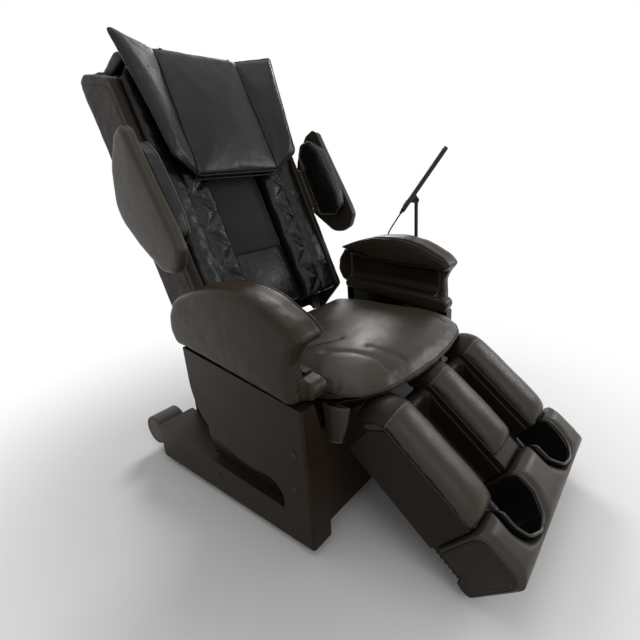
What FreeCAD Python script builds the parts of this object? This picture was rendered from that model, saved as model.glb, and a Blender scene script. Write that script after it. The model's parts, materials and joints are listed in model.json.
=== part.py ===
import FreeCAD, Part
import math
import os

# Massage chair. Millimetres. +X is the sitter's left, -Y the front, +Z up.
# The origin is on the floor, at the centre of the base.

Vec = FreeCAD.Vector

# Clearances
GAP = 0.3
RUNNING_GAP = 0.08
SLIDE_GAP = 1.0

# Base
BASE_HALF_WIDTH = 380.0
BASE_HALF_LENGTH = 322.0
GLIDE_HEIGHT = 20.0
GLIDE_RADIUS = 22.0
RAIL_WIDTH = 125.0
RAIL_REAR_TOP = 133.0
RAIL_SLOT_TOP = 104.0
SLOT_FRONT_Y = -234.0
SLOT_REAR_Y = 70.0
HOOK_TOP = 178.0
SEAM_FRONT_Z = 252.0
SEAM_REAR_Z = 390.0
SEAM_FLAT_Y = -150.0
SEAM_RISE = 6.0
SEAM_SAG = 43.0
SIDE_REAR_Y = 87.0
COVER_DEPTH = 30.0
COVER_WALL = 4.0
POST_TOP_WIDTH = 42.0
POST_SEAM_WIDTH = 76.0
POST_FOOT_WIDTH = 63.0
POST_ROUND = 8.0
FASCIA_Y = -305.0
FASCIA_TOP = 303.0
SHEET = 4.0
TUBE = 30.0
FLOOR_TUBE_INSET = 60.0
FLOOR_TUBE_X = BASE_HALF_WIDTH - FLOOR_TUBE_INSET
FRAME_TOP = 332.0
FRAME_FRONT_Y = -290.0
FRAME_REAR_Y = 60.0
FRONT_CROSS_Y = -245.0
REAR_CROSS_INSET = 57.0
REAR_CROSS_Y = BASE_HALF_LENGTH - REAR_CROSS_INSET
SCREW_CAP_RADIUS = 7.0
SCREW_CAP_HEIGHT = 1.5
SCREW_SPOTS = ((-288.0, 280.0), (-281.0, 181.0), (27.0, 76.0))
BRACKET_LENGTH = 60.0
BRACKET_STARTS = (-240.0, -40.0)
BRACKET_SHEET = 4.0

# Rear cover and power panel
PANEL_INSET = 53.0
PANEL_Z = 90.0
PANEL_WIDTH = 90.0
PANEL_HEIGHT = 50.0
REAR_COVER_INSET = 22.0
REAR_COVER_Y = BASE_HALF_LENGTH - REAR_COVER_INSET
REAR_COVER_TOP = 250.0
REAR_COVER_HALF = BASE_HALF_WIDTH - RAIL_WIDTH - 2
PANEL_X = -REAR_COVER_HALF + PANEL_INSET
SWITCH_FROM_SIDE = 66.0
SWITCH_HALF = 11.0

# Armrests
ARM_OVERHANG = 16.0
ARM_WIDTH = 100.0
ARM_WALL = 50.0
HOOD_INSET = 14.0
ARM_OUTER = BASE_HALF_WIDTH + ARM_OVERHANG
ARM_INNER = ARM_OUTER - ARM_WIDTH
ARM_WALL_INNER = ARM_OUTER - ARM_WALL
ARM_FRONT_Y = -338.0
ARM_WALL_FRONT_Y = -300.0
ARM_BOTTOM_FRONT = 400.0
ARM_BOTTOM_REAR = 456.0
ARM_TOP = 640.0
ARM_INNER_DROP = 12.0
ARM_NOSE_DROP = 56.0
HOOD_NOSE_DROP = 60.0
CHANNEL_BOTTOM = 482.0
CHANNEL_TOP = 548.0

# Seat
SEAT_SIDE_GAP = 9.0
SEAT_HALF_WIDTH = ARM_INNER - SEAT_SIDE_GAP
FRAME_INSET = 2.0
FRAME_HALF_WIDTH = SEAT_HALF_WIDTH - FRAME_INSET
PAN_RIM = 35.0
SEAT_BOTTOM = 365.0
SEAT_SHOULDER = 420.0
SEAT_CROWN = 452.0
SEAT_REAR_Y = 72.0
SEAT_NOSE_Y = -438.0
NOSE_BOTTOM = 386.0
APRON_Y = -333.0
APRON_WING_Y = -345.0
APRON_WING_LOW = 268.0
APRON_WING_GAP = 3.0
SEAT_SECTIONS = 14

# Backrest, leaned back from upright about the recline axis
BACK_LEAN = 22.5
HINGE_Y = 153.0
HINGE_Z = 390.0
PIVOT_RADIUS = 8.0
BACK_SIDE_GAP = 6.0
BACK_HALF_WIDTH = ARM_INNER - BACK_SIDE_GAP
BOLSTER = 28.0
BACK_TOP = 850.0
BACK_HUMP = 16.0
SHOULDER_INNER = 236.0
SHOULDER_LOW = 741.0
SHOULDER_REAR_T = 22.0
SHOULDER_STEP = 14.0
SHOULDER_STEP_T = -20.0
HUMP_HALF_WIDTH = 185.0
BACK_REAR = 60.0
BACK_FRONT = -112.0
SHELL_WALL = 6.0
SIDE_PAD_INNER = 110.0
SIDE_PAD_FRONT = -116.0
SIDE_PAD_LOW = 35.0
SIDE_PAD_TOP = 806.0
PAD_BOARD_FRONT = -50.0
PAD_BOARD = 6.0
TUFTS = 7
TUFT_STEPS = 6
TUFT_DEPTH = 10.0
DRAWN_IN = 0.5
PAD_STEPS = 16
CENTRE_PAD_FRONT = -70.0
CENTRE_PAD_BACK = -60.0
LUMBAR_FRONT = -84.0
LUMBAR_LOW = 45.0
LUMBAR_TOP = 236.0
BACK_TUBE_INSET = 62.0
BACK_TUBE_X = BACK_HALF_WIDTH - BACK_TUBE_INSET
BACK_TUBE = 25.0
LOW_CROSS_S = 60.0
TOP_CROSS_S = 775.0
RECLINE_RANGE = 48.0

# Massage carriage
GUIDE_X = 120.0
GUIDE_RADIUS = 8.0
SCREW_RADIUS = 7.0
CARRIAGE_LOW = 120.0
CARRIAGE_HEIGHT = 90.0
ARM_PIVOT_X = 45.0
ARM_PIVOT_RISE = 50.0
MASSAGE_ROLLER_RADIUS = 26.0
MASSAGE_ROLLER_WIDTH = 34.0
MASSAGE_ROLLER_T = -30.0
MASSAGE_AXLE_RADIUS = 5.0

# Head pillow
PILLOW_AXIS_T = -132.0
PILLOW_AXIS_S = 836.0
PILLOW_ROD_RADIUS = 4.0
PILLOW_LUG_X = 121.0
PILLOW_LUG_WIDTH = 6.0
PILLOW_BACK = -118.5
PILLOW_BOTTOM = 460.0
PILLOW_TOP = 841.0
PILLOW_TOP_HALF = 145.0
PILLOW_BOTTOM_HALF = 162.0
PILLOW_THICKNESS = 26.0
WING_OVERHANG = 4.0
WING_TIP_X = BACK_HALF_WIDTH + WING_OVERHANG
WING_TIP_S = 853.0
WING_TIP_T = -183.0
WING_CORNER_INSET = 49.0
WING_CORNER_X = BACK_HALF_WIDTH - WING_CORNER_INSET
WING_CORNER_S = 507.0

# Shoulder supports beside the back
SUPPORT_STAND_OFF = 53.0
SUPPORT_INNER = BACK_HALF_WIDTH + SUPPORT_STAND_OFF
SUPPORT_THICKNESS = 31.0
SUPPORT_OUTER = SUPPORT_INNER + SUPPORT_THICKNESS
SUPPORT_FRONT = -204.0
SUPPORT_LEAN = 26.0
SUPPORT_BACK = -21.0
SUPPORT_LOW = 214.0
SUPPORT_TOP = 583.0
SUPPORT_PAD_THICKNESS = 46.0
SUPPORT_PAD_INNER = SUPPORT_INNER - SUPPORT_PAD_THICKNESS

# Leg rest, sloping down to the front from its hinge
LEG_SLOPE = 40.0
LEG_HINGE_Y = -430.0
LEG_HINGE_Z = 305.0
LEG_RANGE = 42.0
KNEE_RADIUS = 76.0
LEG_PIPING = 42.0
LEG_BLOCK_REAR = 28.7
LEG_BOTTOM = -92.0
TRAY = 6.0
LEG_END = 243.0
LEG_INSET = 19.0
LEG_HALF_WIDTH = SEAT_HALF_WIDTH - LEG_INSET
OUTER_PAD_WIDTH = 110.0
OUTER_PAD_INNER = LEG_HALF_WIDTH - OUTER_PAD_WIDTH
RIDGE_FROM_INNER = 58.0
OUTER_PAD_RIDGE = OUTER_PAD_INNER + RIDGE_FROM_INNER
CENTRE_PAD_HALF = 52.0
CENTRE_CROWN_END = 203.0
OUTER_CROWN_END = 194.0
CHANNEL_START = 25.0
CHANNEL_FLOOR = -38.0
BRACKET_X = 104.0
BRACKET_WIDTH = 10.0
LEG_PIN_RADIUS = 6.0

# Foot box
FOOT_OVERHANG = 11.0
FOOT_HALF_WIDTH = LEG_HALF_WIDTH + FOOT_OVERHANG
FOOT_START = 247.0
FOOT_END = 371.0
FOOT_TOP = 71.0
FOOT_BOTTOM = -86.0
FOOT_NOTCH_START = 318.0
FOOT_NOTCH_V = -62.0
PANEL_MARGIN = 6.0
WELL_INNER = 65.0
WELL_OUTER = 195.0
WELL_TIP_X = 137.0
WELL_SHOULDER = 310.0
WELL_TIP = 347.0
WELL_FLOOR = -40.0
LINER = 2.5
SLIDE_ROD_INSET = 18.0
SLIDE_ROD_X = OUTER_PAD_INNER - SLIDE_ROD_INSET
SLIDE_ROD_V = -52.0
SLIDE_ROD_RADIUS = 6.0
SLEEVE_START = 170.0
SLEEVE_OVERLAP = 20.0
FOOT_TRAVEL = 90.0
BELLOWS_FOLDS = 6
BUMPER_RADIUS = 8.0
BUMPER_HEIGHT = 5.0
BUMPER_INSET = 29.0
BUMPER_INNER_X = 90.0

# Actuators
LEG_ACTUATOR_X = -60.0
LEG_LEVER = 118.0
BACK_ACTUATOR_X = 60.0
BACK_LEVER = 110.0
MOTOR_RADIUS = 24.0
PUSH_ROD_RADIUS = 9.0
TONGUE = 16.0
LEVER_PLATE = 6.0
LEVER_PIN_RADIUS = 4.0

# Transport rollers
ROLLER_RADIUS = 48.5
ROLLER_REACH = 63.0
ROLLER_Y = BASE_HALF_LENGTH + ROLLER_REACH
ROLLER_Z = 82.0
ROLLER_INSET = 12.0
ROLLER_WIDTH = 93.0
ROLLER_OUTER = BASE_HALF_WIDTH - ROLLER_INSET
ROLLER_INNER = ROLLER_OUTER - ROLLER_WIDTH
AXLE_RADIUS = 6.0
AXLE_SHORT = 14.0
ROLLER_DISH = 1.5
ROLLER_RIM = 6.0
ROLLER_EAR = 12.0
FORK_SHEET = 5.0

# Air pump, valve block and control box
PUMP_INSET = 75.0
PUMP_WIDTH = 100.0
PUMP_FRONT_Y = -235.0
PUMP_REAR_Y = -40.0
PUMP_HEIGHT = 95.0
VALVE_LENGTH = 34.0
VALVE_HEIGHT = 50.0
NOZZLES = 5
NOZZLE_PITCH = 14.0
NOZZLE_RADIUS = 3.5
NOZZLE_HEIGHT = 12.0
CONTROL_BOX_X = -160.0
CONTROL_BOX_WIDTH = 180.0
CONTROL_BOX_Y = 110.0
CONTROL_BOX_LENGTH = 120.0
CONTROL_BOX_HEIGHT = 60.0

# Controller
POST_STAND_OFF = 46.0
POST_X = BASE_HALF_WIDTH + POST_STAND_OFF
POST_Y = -164.0
POST_RADIUS = 6.0
POST_LOW = 355.0
TILT_Z = 745.0
CONTROLLER_YAW = 26.0
CONTROLLER_LEAN = 36.0
HEAD_LOW = -49.0
HEAD_HIGH = 182.0
HEAD_WIDTH = 150.0
HEAD_THICKNESS = 14.0
HEAD_OFFSET = 12.0
SCREEN_LOW = -6.0
BUTTON_RADIUS = 8.0
BUTTON_TRAVEL = 1.5
BUTTON_DEPTH = 4.0
CABLE_RADIUS = 2.5
CABLE_END_Z = 520.0
GLAND_LENGTH = 16.0
BUTTON_X = 30.0
BUTTON_Z = -27.0

# The cable leaves the controller's relief, hangs in a loop behind the post and ends in its gland
CABLE_ROUTE = [
    (402.6, -115.9, 702.1),
    (395, -100.5, 678.5),
    (410, -66, 640),
    (422, -38, 596),
    (428, -44, 552),
    (428, -74, 527),
    (426, -110, 520),
    (426, -147.7, 520),
]


# Shape helpers

def box(x0, x1, y0, y1, z0, z1):
    return Part.makeBox(abs(x1 - x0), abs(y1 - y0), abs(z1 - z0), Vec(min(x0, x1), min(y0, y1), min(z0, z1)))


def rod(start, end, radius):
    start = Vec(*start)
    run = Vec(*end) - start
    return Part.makeCylinder(radius, run.Length, start, run)


def outline(points, at):
    """A closed wire. A pair of points in the list is an arc through the first to the second."""
    first = at(*points[0])
    here = first
    edges = []
    for step in points[1:]:
        if isinstance(step[0], tuple):
            there = at(*step[1])
            edges.append(Part.Arc(here, at(*step[0]), there).toShape())
        else:
            there = at(*step)
            edges.append(Part.LineSegment(here, there).toShape())
        here = there
    if (here - first).Length > 0.01:
        edges.append(Part.LineSegment(here, first).toShape())
    return Part.Wire(edges)


def prism_x(points, x0, x1):
    """Extrudes an outline of (y, z) points from x0 to x1."""
    face = Part.Face(outline(points, lambda y, z: Vec(x0, y, z)))
    return face.extrude(Vec(x1 - x0, 0, 0))


def prism_y(points, y0, y1):
    """Extrudes an outline of (x, z) points from y0 to y1."""
    face = Part.Face(outline(points, lambda x, z: Vec(x, y0, z)))
    return face.extrude(Vec(0, y1 - y0, 0))


def prism_z(points, z0, z1):
    """Extrudes an outline of (x, y) points from z0 to z1."""
    face = Part.Face(outline(points, lambda x, y: Vec(x, y, z0)))
    return face.extrude(Vec(0, 0, z1 - z0))


def fused(first, *others):
    return first.fuse(list(others)).removeSplitter()


def cut(shape, *tools):
    for tool in tools:
        shape = shape.cut(tool)
    return shape


def group(shapes):
    return Part.makeCompound(shapes)


def mirrored(shape):
    """The same piece on the other side of the chair."""
    return shape.mirror(Vec(0, 0, 0), Vec(1, 0, 0))


def pair(shape):
    return group([shape, mirrored(shape)])


def edge_middle(edge):
    return edge.valueAt((edge.FirstParameter + edge.LastParameter) / 2)


def rounded(shape, radius, wanted):
    """Fillets the edges whose middle point passes the test."""
    return shape.makeFillet(radius, [e for e in shape.Edges if wanted(edge_middle(e))])


def near(value, target):
    return abs(value - target) < 0.05


def loft(wires):
    return Part.makeLoft(wires, True, False)


def ruled_loft(wires):
    return Part.makeLoft(wires, True, True)


def arc_edge(a, b, c):
    return Part.Arc(Vec(*a), Vec(*b), Vec(*c)).toShape()


def line_edge(a, b):
    return Part.LineSegment(Vec(*a), Vec(*b)).toShape()


def turned(shape, degrees, place):
    """Turns a shape about the x direction, then moves it."""
    moved = shape.copy()
    moved.rotate(Vec(0, 0, 0), Vec(1, 0, 0), degrees)
    moved.translate(Vec(*place))
    return moved


def smooth_route(points):
    """Straight runs joined by arcs that touch both runs, and each arc's radius."""
    spots = [Vec(*p) for p in points]
    edges = []
    radii = []
    here = spots[0]
    for i in range(1, len(spots) - 1):
        before = spots[i] - spots[i - 1]
        after = spots[i + 1] - spots[i]
        reach = 0.45 * min(before.Length, after.Length)
        turn = before.getAngle(after)
        before.normalize()
        after.normalize()
        radius = reach / math.tan(turn / 2)
        inward = after - before
        inward.normalize()
        start = spots[i] - before * reach
        end = spots[i] + after * reach
        middle = spots[i] + inward * (radius / math.cos(turn / 2) - radius)
        edges.append(Part.LineSegment(here, start).toShape())
        edges.append(Part.Arc(start, middle, end).toShape())
        radii.append(round(radius, 1))
        here = end
    edges.append(Part.LineSegment(here, spots[-1]).toShape())
    return Part.Wire(edges), radii


def lean_back(shape):
    """From the back's own frame of x, depth and height above the recline axis to the chair's."""
    return turned(shape, -BACK_LEAN, (0, HINGE_Y, HINGE_Z))


def slope_leg(shape):
    """From the leg rest's own frame, where -y runs down the leg from its hinge, to the chair's."""
    return turned(shape, LEG_SLOPE, (0, LEG_HINGE_Y, LEG_HINGE_Z))


def aim_controller(shape):
    """From the controller's own frame, with its tilt axis at the origin, to the chair's."""
    aimed = turned(shape, CONTROLLER_LEAN, (0, 0, 0))
    aimed.rotate(Vec(0, 0, 0), Vec(0, 0, 1), CONTROLLER_YAW)
    aimed.translate(Vec(POST_X, POST_Y, TILT_Z))
    return aimed


def turn_post(shape):
    turned_post = shape.copy()
    turned_post.rotate(Vec(0, 0, 0), Vec(0, 0, 1), CONTROLLER_YAW)
    turned_post.translate(Vec(POST_X, POST_Y, 0))
    return turned_post


def on_leg(points):
    """Turns (distance down the leg, height) points into the leg rest's own (y, z) points."""
    steps = []
    for step in points:
        if isinstance(step[0], tuple):
            steps.append(((-step[0][0], step[0][1]), (-step[1][0], step[1][1])))
        else:
            steps.append((-step[0], step[1]))
    return steps


def lever_end(hinge_y, hinge_z, length, swing):
    """Where a lever's pin rests when its swing is shared evenly about straight down."""
    half = math.radians(swing / 2)
    return hinge_y + length * math.sin(half), hinge_z - length * math.cos(half)


def rod_height(hinge_z, length, swing):
    """The middle height of a lever's pin over its swing."""
    return hinge_z - length * (1 + math.cos(math.radians(swing / 2))) / 2


def slot_half(length, swing):
    """Half the height that a lever's pin needs in the tongue it runs in."""
    return length * (1 - math.cos(math.radians(swing / 2))) / 2 + LEVER_PIN_RADIUS + SLIDE_GAP


LEG_ROD_Z = rod_height(LEG_HINGE_Z, LEG_LEVER, LEG_RANGE)
BACK_ROD_Z = rod_height(HINGE_Z, BACK_LEVER, RECLINE_RANGE)


# Base

def lower_side_cover():
    """The hook-shaped cover: crescent, front post and floor rail in one, drawn for the left side."""
    inner = BASE_HALF_WIDTH - COVER_DEPTH
    rail_front_top = (SLOT_FRONT_Y, RAIL_SLOT_TOP)
    rail_rear_top = (BASE_HALF_LENGTH, RAIL_REAR_TOP)
    seam_middle = (-5, SEAM_FRONT_Z + SEAM_SAG)
    body = prism_x(
        [
            (BASE_HALF_LENGTH, GLIDE_HEIGHT),
            rail_rear_top,
            rail_front_top,
            ((SLOT_FRONT_Y + 12, HOOK_TOP - 16), (SLOT_FRONT_Y + 46, HOOK_TOP)),
            ((-40, HOOK_TOP + 16), (60, 265)),
            ((78, 305), (SIDE_REAR_Y, 350)),
            (SIDE_REAR_Y, SEAM_REAR_Z),
            (seam_middle, (SEAM_FLAT_Y, SEAM_FRONT_Z + SEAM_RISE)),
            (-BASE_HALF_LENGTH, SEAM_FRONT_Z),
            (-BASE_HALF_LENGTH, GLIDE_HEIGHT),
        ],
        inner,
        BASE_HALF_WIDTH,
    )
    post = prism_y(
        [
            (BASE_HALF_WIDTH - POST_FOOT_WIDTH, GLIDE_HEIGHT),
            (BASE_HALF_WIDTH, GLIDE_HEIGHT),
            (BASE_HALF_WIDTH, SEAM_FRONT_Z),
            (BASE_HALF_WIDTH - POST_SEAM_WIDTH, SEAM_FRONT_Z),
        ],
        -BASE_HALF_LENGTH,
        -BASE_HALF_LENGTH + COVER_DEPTH,
    )
    slope = (RAIL_REAR_TOP - RAIL_SLOT_TOP) / (BASE_HALF_LENGTH - SLOT_FRONT_Y)
    deck_top = RAIL_REAR_TOP - slope * (BASE_HALF_LENGTH - SLOT_REAR_Y)
    deck = prism_x(
        [
            (BASE_HALF_LENGTH, GLIDE_HEIGHT),
            rail_rear_top,
            (SLOT_REAR_Y, deck_top),
            (SLOT_REAR_Y, GLIDE_HEIGHT),
        ],
        BASE_HALF_WIDTH - RAIL_WIDTH,
        BASE_HALF_WIDTH,
    )
    front = -BASE_HALF_LENGTH
    solid = fused(body, post, deck)
    solid = rounded(solid, POST_ROUND, lambda m: near(m.x, BASE_HALF_WIDTH) and near(m.y, front))
    hollow_rail = prism_x(
        [
            (BASE_HALF_LENGTH - COVER_WALL, GLIDE_HEIGHT - 1),
            (BASE_HALF_LENGTH - COVER_WALL, RAIL_REAR_TOP - COVER_WALL),
            (SLOT_FRONT_Y, RAIL_SLOT_TOP - COVER_WALL),
            (-BASE_HALF_LENGTH + COVER_WALL, RAIL_SLOT_TOP - COVER_WALL),
            (-BASE_HALF_LENGTH + COVER_WALL, GLIDE_HEIGHT - 1),
        ],
        BASE_HALF_WIDTH - RAIL_WIDTH + COVER_WALL,
        BASE_HALF_WIDTH - COVER_WALL,
    )
    hollow_hook = prism_x(
        [
            (SLOT_FRONT_Y - COVER_WALL, RAIL_SLOT_TOP - COVER_WALL - 1),
            ((SLOT_FRONT_Y + 8, HOOK_TOP - 10), (SLOT_FRONT_Y + 46, HOOK_TOP + COVER_WALL)),
            ((-42, HOOK_TOP + 21), (56, 268)),
            (SIDE_REAR_Y - COVER_WALL, 352),
            (SIDE_REAR_Y - COVER_WALL, SEAM_REAR_Z - 14),
            ((-4, SEAM_FRONT_Z + SEAM_SAG - 6), (SEAM_FLAT_Y, SEAM_FRONT_Z + 1)),
            (-BASE_HALF_LENGTH + COVER_WALL, SEAM_FRONT_Z - COVER_WALL),
            (-BASE_HALF_LENGTH + COVER_WALL, RAIL_SLOT_TOP - COVER_WALL - 1),
        ],
        BASE_HALF_WIDTH - POST_FOOT_WIDTH,
        BASE_HALF_WIDTH - COVER_WALL,
    )
    tube_way = box(
        FLOOR_TUBE_X - TUBE / 2 - GAP,
        FLOOR_TUBE_X + TUBE / 2 + GAP,
        BASE_HALF_LENGTH - 2 * COVER_WALL,
        BASE_HALF_LENGTH + 1,
        GLIDE_HEIGHT - 1,
        GLIDE_HEIGHT + TUBE + GAP,
    )
    cross_way = box(
        BASE_HALF_WIDTH - RAIL_WIDTH - 1,
        BASE_HALF_WIDTH - RAIL_WIDTH + 2 * COVER_WALL,
        REAR_CROSS_Y - TUBE / 2 - GAP,
        REAR_CROSS_Y + TUBE / 2 + GAP,
        GLIDE_HEIGHT - 1,
        GLIDE_HEIGHT + TUBE + GAP,
    )
    return cut(solid, hollow_rail, hollow_hook, tube_way, cross_way)


def arm_bottom(y):
    """Height of the armrest's sloping underside."""
    slope = (ARM_BOTTOM_REAR - ARM_BOTTOM_FRONT) / (SIDE_REAR_Y - ARM_WALL_FRONT_Y)
    return ARM_BOTTOM_FRONT + slope * (y - ARM_WALL_FRONT_Y)


def upper_side_panel():
    """The panel between the seam and the armrest, with its front return."""
    inner = BASE_HALF_WIDTH - COVER_DEPTH
    low = SEAM_FRONT_Z + GAP
    front = -BASE_HALF_LENGTH
    body = prism_x(
        [
            (SIDE_REAR_Y, SEAM_REAR_Z + GAP),
            (SIDE_REAR_Y, arm_bottom(SIDE_REAR_Y) - GAP),
            (front, arm_bottom(front) - GAP),
            (front, low),
            (SEAM_FLAT_Y, low + SEAM_RISE),
            ((-5, low + SEAM_SAG), (SIDE_REAR_Y, SEAM_REAR_Z + GAP)),
        ],
        inner,
        BASE_HALF_WIDTH,
    )
    post_low = low + SEAM_RISE * COVER_DEPTH / (SEAM_FLAT_Y - front) + GAP
    post = prism_y(
        [
            (BASE_HALF_WIDTH - POST_SEAM_WIDTH, post_low),
            (BASE_HALF_WIDTH, post_low),
            (BASE_HALF_WIDTH, arm_bottom(front) - GAP),
            (BASE_HALF_WIDTH - POST_TOP_WIDTH, arm_bottom(front) - GAP),
        ],
        front,
        front + COVER_DEPTH,
    )
    solid = rounded(fused(body, post), POST_ROUND, lambda m: near(m.x, BASE_HALF_WIDTH) and near(m.y, front))
    hollow = prism_x(
        [
            (SIDE_REAR_Y - COVER_WALL, SEAM_REAR_Z + 2),
            (SIDE_REAR_Y - COVER_WALL, arm_bottom(SIDE_REAR_Y) - 2 * COVER_WALL),
            (front + COVER_WALL, arm_bottom(front) - 2 * COVER_WALL),
            (front + COVER_WALL, low + COVER_WALL),
            (SEAM_FLAT_Y, low + SEAM_RISE + 5),
            ((-7, low + SEAM_SAG + 6), (SIDE_REAR_Y - COVER_WALL, SEAM_REAR_Z + 2)),
        ],
        BASE_HALF_WIDTH - POST_FOOT_WIDTH,
        BASE_HALF_WIDTH - COVER_WALL,
    )
    return cut(solid, hollow)


def inner_side_shell():
    """The dark curved shell seen through the slot of the side cover."""
    outer = BASE_HALF_WIDTH - COVER_DEPTH - GAP
    return prism_x(
        [
            (SIDE_REAR_Y - 3, 330),
            (SIDE_REAR_Y - 3, 170),
            ((46, 118), (-60, 78)),
            ((-170, 84), (-290, 130)),
            (-290, SEAM_FRONT_Z - 20),
            (-60, 260),
        ],
        outer - SHEET,
        outer,
    )


def recline_lug(side):
    """The plate with the pivot pin that carries the back."""
    inner = BACK_TUBE_X + BACK_TUBE - 3
    plate = prism_x(
        [
            (FRAME_REAR_Y - TUBE, FRAME_TOP - TUBE),
            (FRAME_REAR_Y - TUBE, FRAME_TOP - 1),
            (FRAME_REAR_Y + 2, FRAME_TOP - 1),
            (HINGE_Y - 11, HINGE_Z + 14),
            ((HINGE_Y + 18, HINGE_Z), (HINGE_Y - 4, HINGE_Z - 17.5)),
            (96, FRAME_TOP - TUBE),
        ],
        inner,
        inner + 8,
    )
    pin = rod((inner - 16, HINGE_Y, HINGE_Z), (inner + 8, HINGE_Y, HINGE_Z), PIVOT_RADIUS)
    solid = fused(plate, pin)
    return solid if side > 0 else mirrored(solid)


def leg_arm():
    """The arm that reaches forward to the leg rest's hinge."""
    x0 = BRACKET_X - BRACKET_WIDTH / 2
    plate = prism_x(
        [
            (FRAME_FRONT_Y + TUBE, FRAME_TOP - 2),
            (FRAME_FRONT_Y, FRAME_TOP - 2),
            (LEG_HINGE_Y + 3, LEG_HINGE_Z + 14),
            ((LEG_HINGE_Y - 14, LEG_HINGE_Z), (LEG_HINGE_Y + 3, LEG_HINGE_Z - 14)),
            (FRAME_FRONT_Y, FRAME_TOP - 62),
            (FRAME_FRONT_Y + TUBE, FRAME_TOP - 62),
        ],
        x0,
        x0 + BRACKET_WIDTH,
    )
    hole = rod((x0 - 1, LEG_HINGE_Y, LEG_HINGE_Z), (x0 + BRACKET_WIDTH + 1, LEG_HINGE_Y, LEG_HINGE_Z),
               LEG_PIN_RADIUS + RUNNING_GAP)
    return plate.cut(hole)


def arm_bracket(y0, y1):
    """A bracket from the frame's side tube up to the underside of the armrest."""
    web = prism_x(
        [
            (y0, FRAME_TOP - TUBE),
            (y1, FRAME_TOP - TUBE),
            (y1, arm_bottom(y1) - GAP),
            (y0, arm_bottom(y0) - GAP),
        ],
        ARM_INNER + BRACKET_SHEET,
        ARM_INNER + 2 * BRACKET_SHEET,
    )
    flange = prism_x(
        [
            (y0, arm_bottom(y0) - GAP - 5),
            (y1, arm_bottom(y1) - GAP - 5),
            (y1, arm_bottom(y1) - GAP),
            (y0, arm_bottom(y0) - GAP),
        ],
        ARM_INNER + BRACKET_SHEET,
        ARM_WALL_INNER - 2,
    )
    tie = box(FRAME_HALF_WIDTH - 2, ARM_INNER + 6, y0, y1, FRAME_TOP - TUBE, FRAME_TOP - TUBE + 6)
    return fused(web, flange, tie)


def roller_fork():
    """The end plate and thick inner ear that carry a transport roller's stub axle."""
    plate_y = BASE_HALF_LENGTH + GAP
    low = GLIDE_HEIGHT + 2
    x0 = ROLLER_INNER - ROLLER_EAR - GAP
    x1 = x0 + ROLLER_EAR
    plate = box(x0 - 2, ROLLER_OUTER - 8, plate_y, plate_y + FORK_SHEET, low, ROLLER_Z + 22)
    ear = prism_x(
        [
            (plate_y, ROLLER_Z - 24),
            (plate_y, ROLLER_Z + 22),
            (ROLLER_Y, ROLLER_Z + 14),
            ((ROLLER_Y + 14, ROLLER_Z), (ROLLER_Y, ROLLER_Z - 14)),
        ],
        x0,
        x1,
    )
    hole = rod((x0 - 1, ROLLER_Y, ROLLER_Z), (x1 + 1, ROLLER_Y, ROLLER_Z), AXLE_RADIUS + RUNNING_GAP)
    stem = box(
        FLOOR_TUBE_X - TUBE / 2,
        FLOOR_TUBE_X + TUBE / 2,
        REAR_CROSS_Y,
        plate_y + FORK_SHEET,
        GLIDE_HEIGHT,
        GLIDE_HEIGHT + TUBE,
    )
    return fused(plate, stem, ear.cut(hole))


def base_frame():
    """The welded steel frame with the lugs, arms and cradles that carry the moving parts."""
    low = GLIDE_HEIGHT
    half = TUBE / 2
    wall_x = FRAME_HALF_WIDTH - half
    parts = []
    half_parts = [
        box(FLOOR_TUBE_X - half, FLOOR_TUBE_X + half, FRAME_FRONT_Y, REAR_CROSS_Y + half, low, low + TUBE),
        box(wall_x - half, wall_x + half, FRAME_FRONT_Y, FRAME_REAR_Y, FRAME_TOP - TUBE, FRAME_TOP),
        box(wall_x - half, wall_x + half, FRONT_CROSS_Y - half, FRONT_CROSS_Y + half, low, FRAME_TOP),
        box(wall_x - half, wall_x + half, -half, half, low, FRAME_TOP),
        recline_lug(1),
        leg_arm(),
        roller_fork(),
    ]
    half_parts += [arm_bracket(y0, y0 + BRACKET_LENGTH) for y0 in BRACKET_STARTS]
    for piece in half_parts:
        parts += [piece, mirrored(piece)]
    for y in (FRONT_CROSS_Y, 0, REAR_CROSS_Y):
        parts.append(box(-FLOOR_TUBE_X, FLOOR_TUBE_X, y - half, y + half, low, low + TUBE))
    for y0 in (FRAME_FRONT_Y, FRAME_REAR_Y - TUBE):
        parts.append(box(-wall_x, wall_x, y0, y0 + TUBE, FRAME_TOP - TUBE, FRAME_TOP))
    for x, z in ((LEG_ACTUATOR_X, LEG_ROD_Z), (BACK_ACTUATOR_X, BACK_ROD_Z)):
        for y in (FRONT_CROSS_Y, 0):
            parts.append(box(x - 14, x + 14, y - 8, y + 8, low + TUBE / 2, z - MOTOR_RADIUS - GAP))
    return fused(*parts)


def floor_glides():
    spots = [(0, 0)]
    spots += [(sx * FLOOR_TUBE_X, y) for sx in (-1, 1) for y in (FRONT_CROSS_Y - 20, REAR_CROSS_Y - 15)]
    discs = []
    for x, y in spots:
        disc = Part.makeCylinder(GLIDE_RADIUS, GLIDE_HEIGHT, Vec(x, y, 0))
        discs.append(rounded(disc, 3.0, lambda m: near(m.z, 0)))
    return group(discs)


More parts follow.
